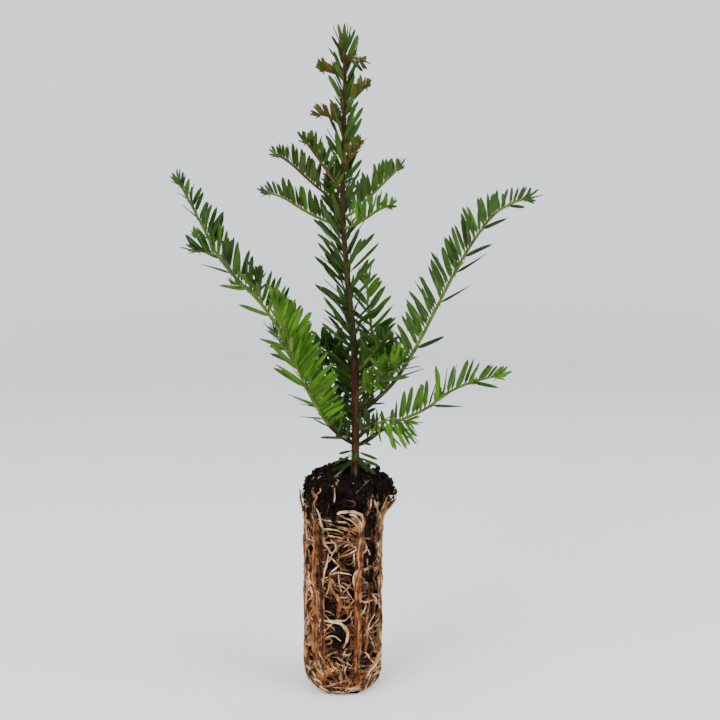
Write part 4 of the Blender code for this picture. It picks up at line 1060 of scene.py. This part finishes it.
def at_length(path, distance):
    """(point, direction) at a distance along a path."""
    for a, b in zip(path, path[1:]):
        span = (b - a).length
        if distance <= span:
            return a + (b - a) * (distance / span), (b - a).normalized()
        distance -= span
    return path[-1].copy(), (path[-1] - path[-2]).normalized()


def piece_of(path, low, high, step=1.5):
    """Even points of a path between two distances along it."""
    count = max(3, round((high - low) / step))
    return [at_length(path, low + (high - low) * i / count)[0] for i in range(count + 1)]


bough_bark = bark_finish(
    "bough_bark",
    [(0.0, (0.020, 0.012, 0.002)), (0.3, (0.020, 0.020, 0.002)), (1.0, (0.024, 0.026, 0.003))],
    (0.010, 0.004, 0.002),
    0.7,
)
bough_start = 1.2
bough_step = 0.6
for shoot in shoots:
    shoot["path"] = shoot_path(shoot)
    if shoot["bare"]:
        line = piece_of(shoot["path"], bough_start, shoot["bare"] + 1.0, bough_step)
        girth = []
        for i in range(len(line)):
            collar = 0.35 * (1 - smooth(0.0, 4.0, bough_start + bough_step * i))
            girth.append(shoot["thick"] * (1.0 + collar - 0.12 * i / len(line)))
        limb = barked(line, girth, 20, 0.16, shoot["z"])
        bough = joined("bough_" + shoot["name"], [limb], [bough_bark], 60)
        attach(bough, "root")
        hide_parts("bough_" + shoot["name"])

# Needle: a flat leathery blade on a short narrow stalk, with a raised rib down its upper side and
# a paler underside. Its edges run level and close fast to a small point.
needle_wide = 2.5
needle_thick = 0.62
needle_least = 3.0
tip_needles = 6
plant_reach = ((-102.6, 117.6), (-36.4, 74.0), (0.0, 382.0))
needle_stations = (
    (0.0, 0.26), (0.05, 0.26), (0.11, 0.58), (0.20, 0.90), (0.42, 1.0), (0.68, 0.96), (0.85, 0.76),
    (0.95, 0.40), (1.0, 0.05),
)


def within(root, ahead, length):
    """A needle's length, cut back where its tip would pass the plant's reach."""
    for axis, (low, high) in enumerate(plant_reach):
        if abs(ahead[axis]) > 0.01:
            length = min(length, ((high if ahead[axis] > 0 else low) - root[axis]) / ahead[axis])
    return max(length, needle_least)


def needle(root, ahead, across, length, wide, curl, sickle, twist):
    """One blade from its root: its points, its faces and the finish of each. It bends down by its
    curl and sideways by its sickle, and turns about itself by its twist."""
    over = ahead.cross(across).normalized()
    points = []
    for share, width in needle_stations:
        half = wide * 0.5 * width
        turn = math.radians(twist) * (0.35 + 0.65 * share)
        flat = across * math.cos(turn) + over * math.sin(turn)
        up = over * math.cos(turn) - across * math.sin(turn)
        bend = length * share * share
        centre = root + ahead * (length * share) - over * (curl * bend) + across * (sickle * bend)
        thick = needle_thick * (0.5 + 0.5 * width)
        points += [
            centre - flat * half,
            centre - flat * (half * 0.5) + up * (thick * 0.26),
            centre + up * (thick * 0.62),
            centre + flat * (half * 0.5) + up * (thick * 0.26),
            centre + flat * half,
            centre - up * (thick * 0.38),
        ]
    faces = [(0, 1, 2, 3, 4, 5)]
    kinds = [0]
    for i in range(len(needle_stations) - 1):
        for k in range(6):
            n = (k + 1) % 6
            faces.append((i * 6 + n, i * 6 + k, (i + 1) * 6 + k, (i + 1) * 6 + n))
            kinds.append(1 if k >= 4 else 0)
    last = (len(needle_stations) - 1) * 6
    faces.append(tuple(last + k for k in reversed(range(6))))
    kinds.append(0)
    return points, faces, kinds


def frame_of(ahead, az):
    """The level direction square to a shoot, and the one square to both, on its upper side."""
    side = Vector((math.sin(math.radians(az)), -math.cos(math.radians(az)), 0))
    side = (side - ahead * side.dot(ahead)).normalized()
    return side, side.cross(ahead)


def spray(path, low, high, shoot, rng):
    """The needles of a shoot, as (root, direction, width direction, length, folded under). The last
    ones stand close round its tip."""
    found = []
    az, turn, size, lean, fold = (shoot[key] for key in ("az", "turn", "needle", "lean", "fold"))
    count = max(2, round((high - low) / shoot["gap"]))
    order = []
    for i in range(count):
        if not order:
            order = rng.sample(shoot["ranks"], len(shoot["ranks"]))
        t = (i + 0.5 + rng.uniform(-0.2, 0.2)) / count
        distance = low + t * (high - low)
        place, ahead = at_length(path, distance)
        side, over = frame_of(ahead, az + turn * distance / high)
        rank = math.radians(order.pop() + rng.uniform(-10, 10))
        out = side * math.cos(rank) + over * math.sin(rank)
        under = fold > 0 and math.sin(rank) < -0.3
        tilt = math.radians(lean[0] + (lean[1] - lean[0]) * t ** 0.75 + rng.uniform(-5, 5) - fold * under)
        along_needle = ahead * math.cos(tilt) + out * math.sin(tilt)
        across = (ahead - along_needle * ahead.dot(along_needle)).normalized()
        length = size * (0.78 + 0.26 * math.sin(math.pi * t ** 0.8)) * rng.uniform(0.88, 1.06)
        length *= (0.72 + 0.28 * smooth(0.0, 0.22, t)) * (1 - 0.5 * max(0.0, (t - 0.72) / 0.28))
        found.append((place, along_needle, across, within(place, along_needle, length), under))
    place, ahead = at_length(path, high - 1.0)
    side, over = frame_of(ahead, az + turn)
    for k in range(tip_needles):
        rank = math.radians(360 / tip_needles * k + 30 + rng.uniform(-15, 15))
        out = side * math.cos(rank) + over * math.sin(rank)
        along_needle = (ahead + (0.30 + 0.16 * (k % 3)) * out).normalized()
        across = along_needle.cross(out).normalized()
        length = within(place, along_needle, size * (0.50 - 0.03 * k))
        found.append((place - ahead * (0.4 * k), along_needle, across, length, False))
    return found


# Twigs: the thin ends of the shoots and their short side twigs. Under each needle a low ridge runs
# down the bark, and a small scaly bud sits at every tip. A shoot's needles are of its own tone, with
# some of a neighbouring one and a share of fresher ones.
needles_by_tone = {"bright": [], "light": [], "mid": [], "dark": [], "olive": [], "bronze": []}
neighbour_tone = dict(bright="light", light="mid", mid="dark", dark="mid", olive="mid", bronze="olive")
fresher_tone = dict(bright="bright", light="bright", mid="light", dark="mid", olive="light", bronze="olive")
fresh_shares = dict(
    left_long=0.45, right_mid=0.2, right_front=0.3, left_inner=0.3, left_back=0.3, right_inner=0.6,
)
fresh_share = 0.1
neighbour_share = 0.16
green_stems = []
brown_stems = []
bud_shapes = []


def needle_base(skin, ahead, needle_ahead):
    """The ridge below a needle, from the twig's skin up to the needle's stalk."""
    ridge = [skin - ahead * 2.6, skin - ahead * 1.2, skin + ahead * 0.1, skin + needle_ahead * 0.8]
    return tube(ridge, [0.08, 0.24, 0.30, 0.22], 5)


bud_scales = (
    (0.0, 0.55), (0.12, 0.95), (0.26, 0.88), (0.30, 1.0), (0.46, 0.86), (0.50, 0.95), (0.68, 0.66),
    (0.72, 0.72), (0.9, 0.35), (1.0, 0.05),
)


def bud(place, ahead, size):
    """A small egg-shaped bud with ringed scales."""
    line = [place + ahead * (size * 2.0 * t) for t, _ in bud_scales]
    return tube(line, [size * r * 0.55 for _, r in bud_scales], 8)


def clothe(blades, girth, tone, stems, rng, fresh=fresh_share):
    """Sets each needle on the twig's skin, over its ridge, and deals out the tones."""
    for root, ahead, across, length, under in blades:
        shoot_way = (across + ahead * 0.6).normalized()
        out = (ahead - shoot_way * ahead.dot(shoot_way)).normalized()
        stems.append(needle_base(root + out * (girth * 0.8), shoot_way, ahead))
        wide = needle_wide * min(1.06, 0.74 + length / 52.0) * rng.uniform(0.92, 1.10)
        wide *= 0.70 + 0.30 * smooth(6.0, 12.5, length)
        draw = rng.random()
        dealt = tone
        if draw < fresh:
            dealt = fresher_tone[tone]
        elif under or draw > 1.0 - neighbour_share:
            dealt = neighbour_tone[tone]
        on_edge = rng.random() < (0.85 if under else 0.12)
        twist = rng.choice((-1, 1)) * rng.uniform(50, 84) if on_edge else rng.uniform(-24, 24)
        curl = rng.uniform(-0.03, 0.12)
        sickle = rng.uniform(-0.09, 0.05)
        blade = needle(root + ahead * (girth * 0.7), ahead, across, length, wide, curl, sickle, twist)
        needles_by_tone[dealt].append(blade)


bough_clothing = dict(needle=15, gap=1.9, ranks=(70, 20, 110, 160, 90, 195, 345), lean=(58, 52), fold=0)
twig_clothing = dict(needle=6.5, gap=0.95, ranks=(60, 120, 4, 176, 90, 30, 150), lean=(70, 38), fold=0)
twig_steps = 8
twig_lift = Vector((0, 0, 0.8))
long_twig = 11
brown_shoots = ("upper_left_mid", "upper_left_front")
brown_foot = 0.26
brown_foot_least = 80
for shoot in shoots:
    rng = random.Random(shoot["name"])
    path = shoot["path"]
    size = shoot["length"]
    tone = shoot["tone"]
    skin = along(stem_radius, shoot["z"])
    first = shoot["bare"] if shoot["bare"] else skin * 0.6
    start = shoot["bare"] + 1.5 if shoot["bare"] else skin + 1.8
    stems = brown_stems if tone == "bronze" or shoot["name"] in brown_shoots else green_stems
    fresh = fresh_shares.get(shoot["name"], fresh_share)
    clothe(spray(path, start, size, shoot, rng), shoot["thick"] * 0.7, tone, stems, rng, fresh)
    if shoot["bare"]:
        blades = spray(path, 4.0, shoot["bare"] + 3.0, {**shoot, **bough_clothing}, rng)[:-tip_needles]
        clothe(blades, shoot["thick"] * 0.8, "dark", green_stems, rng)
    split = size * brown_foot if size > brown_foot_least and tone != "bright" else 0.0
    for low, high, bars in ((first, split, brown_stems), (max(first, split), size, stems)):
        if high - low < 4:
            continue
        line = piece_of(path, low, high)
        girth = []
        for i in range(len(line)):
            share = (low + (high - low) * i / (len(line) - 1)) / size
            girth.append(0.92 * shoot["thick"] * (1.0 - 0.55 * share))
        bars.append(tube(line, girth, 10))
    for share, az, rise, length in shoot["twigs"]:
        place, _ = at_length(path, share * size)
        ways = [s / twig_steps for s in range(twig_steps + 1)]
        twig = [place + slant(az, rise) * (length * way) + twig_lift * way ** 2 for way in ways]
        green_stems.append(tube(twig, [0.58 - 0.24 * way for way in ways], 8))
        clothing = dict(twig_clothing, az=az, turn=0)
        if length > long_twig:
            clothing.update(needle=shoot["needle"] * 0.85, gap=1.3)
        blades = spray(twig, 1.2, (twig[-1] - twig[0]).length, clothing, rng)
        clothe(blades, 0.35, tone if length > long_twig else "bright", green_stems, rng, fresh)
        bud_shapes.append(bud(twig[-1], slant(az, rise), 0.8))
    tip, ahead = at_length(path, size)
    bud_shapes.append(bud(tip - ahead * 0.4, ahead, 1.0))

# Needles round the stem itself: the leading shoot's own needles stand out all round it and point
# up, long on last year's growth and short near the tip. The lowest ones hang.
golden_turn = 137.5

# A row is its node, its lowest and highest needle, their length, number, rise and tone, the half
# angle in front that is kept clear, how far a needle from there is moved on, and whether those on the
# right are thinned.
sheaths = (
    ("stem_needles_foot", 132.0, 142.5, 15, 16, -20, "dark", 0, 0, False),
    ("stem_needles_foot", 143.5, 168.0, 17, 20, 44, "mid", 56, 112, True),
    ("stem_needles_low", 168.5, 196.5, 18, 24, 40, "mid", 56, 112, True),
    ("stem_needles_low", 197.0, 229.0, 23, 34, 42, "dark", 34, 70, True),
    ("stem_needles_mid", 229.6, 263.5, 24, 34, 48, "dark", 34, 70, True),
    ("stem_needles_crown", 264.2, 298.0, 19, 30, 50, "dark", 34, 70, True),
    ("stem_needles_high", 298.5, 324.5, 18, 24, 60, "olive", 34, 70, False),
    ("stem_needles_top", 325.0, 363.0, 16, 30, 62, "olive", 34, 70, False),
)
for name, low, high, size, count, rise, own_tone, clear, moved, thinned in sheaths:
    rng = random.Random(name + str(low))
    for k in range(count):
        z = low + (high - low) * (k + 0.5) / count
        az = golden_turn * k + rng.uniform(-10, 10)
        if abs((az + 90 + 180) % 360 - 180) < clear:
            az += moved
        if thinned and math.cos(math.radians(az - 10)) > 0.75 and k % 3:
            az += 150
        ahead = slant(az, rise + rng.uniform(-9, 9))
        out = slant(az, 0)
        across = Vector((-out.y, out.x, 0))
        skin = along(stem_radius, z)
        root = stem_point(z) + out * (skin * 0.9)
        length = within(root, ahead, size * rng.uniform(0.80, 1.04))
        wide = needle_wide * rng.uniform(1.04, 1.24)
        tone = own_tone if rng.random() < 0.6 else neighbour_tone[own_tone]
        curl = rng.uniform(-0.08, 0.08)
        twist = rng.choice((-1, 1)) * rng.uniform(24, 82)
        sickle = rng.uniform(-0.06, 0.06)
        needles_by_tone[tone].append(needle(root, ahead, across, length, wide, curl, sickle, twist))
        green_stems.append(needle_base(stem_point(z) + out * (skin * 0.85), Vector((0, 0, 1)), ahead))

# Terminal shoot: the growing tip, a short soft stem on the leading stem's end, with needles that
# stand up round the end bud.
crown_top = 383.0
crown_stem = 6.0
crown_needle = 15.0
crown_needles = 12
foot = stem_point(stem_tip)
line = [foot + Vector((0, 0, crown_stem * s / twig_steps - 0.5)) for s in range(twig_steps + 1)]
brown_stems.append(tube(line, [0.95 - 0.06 * s for s in range(twig_steps + 1)], 10))
bud_shapes.append(bud(line[-1], Vector((0, 0, 1)), 1.1))
rng = random.Random(7)
for k in range(crown_needles):
    share = k / (crown_needles - 1)
    rise = 52 + 28 * share
    out = slant(golden_turn * k + 20, 0)
    ahead = slant(golden_turn * k + 20, rise)
    root = foot + Vector((0, 0, crown_stem * share - 1.5)) + out * 0.6
    room = (crown_top - root.z - 0.6) / math.sin(math.radians(rise))
    length = min(crown_needle * rng.uniform(0.85, 1.05), room)
    tone = "bronze" if k % 3 == 0 else "olive"
    across = Vector((-out.y, out.x, 0))
    curl = rng.uniform(-0.05, 0.02)
    twist = rng.choice((-1, 1)) * rng.uniform(30, 80)
    sickle = rng.uniform(-0.05, 0.05)
    needles_by_tone[tone].append(needle(root, ahead, across, length, needle_wide * 1.05, curl, sickle, twist))


# Foliage pieces: the needles of each tone, the twigs and the buds, each kind joined into one piece.
# Needles are leathery and paler below. This year's growth is fresher, and bronze on the top tufts.
def leaf_finish(label, dark, light, gloss):
    """A leathery green that wanders a little from needle to needle, with a soft shine."""
    relief = (0.25, 0.0001, 2200.0, 2.0)
    return grown_finish(label, dark, light, gloss, 0.14, (170.0, 3.0), (0.32, 0.68), relief)


# The dark tone is partly painted shade, set on the shoots at the back of the plant and inside it; elsewhere
# it is dealt as a neighbouring tone and given to the needles along the boughs and on parts of the stem.
leaf_tones = {
    "bright": ((0.026, 0.084, 0.001), (0.062, 0.150, 0.003)),
    "light": ((0.017, 0.054, 0.0015), (0.040, 0.094, 0.004)),
    "mid": ((0.009, 0.029, 0.001), (0.023, 0.058, 0.002)),
    "dark": ((0.0045, 0.014, 0.0007), (0.015, 0.038, 0.0020)),
    "olive": ((0.010, 0.026, 0.0006), (0.028, 0.056, 0.0012)),
    "bronze": ((0.034, 0.027, 0.0006), (0.088, 0.050, 0.0015)),
}
under_paler = ((0.009, 0.016, 0.004), (0.014, 0.024, 0.006))
every_mass = {"spray_" + shoot["name"] for shoot in shoots} | {row[0] for row in sheaths} | {"crown_tip"}
every_mass = sorted(every_mass)
for tone, pair in leaf_tones.items():
    under = [tuple(c + more for c, more in zip(*both)) for both in zip(pair, under_paler)]
    skins = [leaf_finish("needle_" + tone, *pair, 0.44), leaf_finish("needle_under_" + tone, *under, 0.6)]
    blades = joined("needles_" + tone, needles_by_tone[tone], skins, 38)
    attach(blades, "root")
    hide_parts(*every_mass)

twig_green = leaf_finish("twig_green", (0.040, 0.062, 0.006), (0.095, 0.125, 0.016), 0.55)
twig_brown = leaf_finish("twig_brown", (0.036, 0.018, 0.005), (0.085, 0.044, 0.014), 0.6)
bud_brown = leaf_finish("bud_scales", (0.040, 0.026, 0.006), (0.100, 0.066, 0.018), 0.5)
twig_pieces = (
    ("twigs_green", green_stems, twig_green, 60),
    ("twigs_brown", brown_stems, twig_brown, 60),
    ("buds", bud_shapes, bud_brown, 30),
)
for label, shapes, finish, edge in twig_pieces:
    twigs = joined(label, shapes, [finish], edge)
    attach(twigs, "root")
    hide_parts(*every_mass)

# Litter: a few fallen needles and broken pale rootlets that lie on the peat's lumpy top. A fallen
# needle is the azimuth and share of its place on the mound, the way it points and its tilt. A rootlet
# is the azimuth and share of both its ends, and its thickness.
fallen_places = (
    (232, 0.62, 20, 38), (291, 1.0, 4, 48), (256, 0.74, 95, 10), (285, 0.55, 130, 14), (212, 0.86, 60, 20),
    (60, 0.6, 20, 12), (120, 0.75, 100, 8), (20, 0.8, 160, 12), (180, 0.6, 250, 16),
)
rootlet_places = [
    (150, 0.78, 258, 0.53, 0.5), (255, 0.72, 250, 0.98, 0.35), (330, 0.75, 352, 0.98, 0.4),
    (225, 0.88, 242, 0.99, 0.6), (238, 0.80, 231, 0.97, 0.45), (80, 0.5, 130, 0.8, 0.5),
    (30, 0.7, 60, 0.9, 0.4), (160, 0.9, 175, 0.7, 0.4), (262, 0.60, 306, 0.72, 0.38),
    (205, 0.95, 196, 0.70, 0.4), (312, 0.93, 322, 0.72, 0.35),
]
bit_count = 34
rootlet_steps = 12
mound_looks = 24


def lying_point(azimuth, share, above):
    """A point this far above the peat's top."""
    spot = mound_point(azimuth, share)
    return spot + Vector((0, 0, lump_height(spot, 1.0) + above))


def peat_below(spot):
    """The height of the peat's top under a point, read along the line from the stem's foot."""
    level = spot.xy - Vector(stem_foot)
    turn = math.degrees(math.atan2(level.y, level.x))
    looks = [lying_point(turn, k / mound_looks, 0.0) for k in range(mound_looks + 1)]
    return min(looks, key=lambda look: (look.xy - spot.xy).length).z


rng = random.Random(44)
litter = []
for azimuth, share, facing, tilt in fallen_places:
    ahead = slant(facing, tilt)
    across = Vector((-ahead.y, ahead.x, 0)).normalized()
    place = lying_point(azimuth, share, 0.2)
    length = rng.uniform(8, 11)
    litter.append(needle(place, ahead, across, length, needle_wide, 0.05, 0.06, rng.uniform(-30, 30)))
litter_finish = leaf_finish("needle_fallen", (0.045, 0.060, 0.022), (0.100, 0.125, 0.055), 0.6)
fallen = joined("needles_fallen", litter, [litter_finish, litter_finish], 38)
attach(fallen, "root")
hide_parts("stem_needles_foot")
bits = []
for i in range(bit_count):
    azimuth = rng.uniform(0, 360)
    share = rng.uniform(0.45, 1.0)
    end_share = min(1.0, share + rng.uniform(-0.16, 0.16))
    bits.append((azimuth, share, azimuth + rng.uniform(-16, 16), end_share, rng.uniform(0.2, 0.38)))
rootlets = []
for azimuth, share, end_azimuth, end_share, thick in bits + rootlet_places:
    a = lying_point(azimuth, share, 0.0)
    b = lying_point(end_azimuth, end_share, 0.0)
    bow = Vector((rng.uniform(-1.5, 1.5), rng.uniform(-1.5, 1.5), 0))
    path = []
    for s in range(rootlet_steps + 1):
        spot = a.lerp(b, s / rootlet_steps) + bow * math.sin(math.pi * s / rootlet_steps)
        height = max(peat_below(spot), spot.z) + 0.35 + 0.2 * math.sin(s)
        path.append(Vector((spot.x, spot.y, height)))
    rootlets.append(root_bar(rng, path, thick))
rootlet_finish = root_finish("root_lying", (0.20, 0.10, 0.035), (0.56, 0.38, 0.19))
lying = joined("rootlets_lying", rootlets, [rootlet_finish], 60)
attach(lying, "root")
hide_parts("root_web")
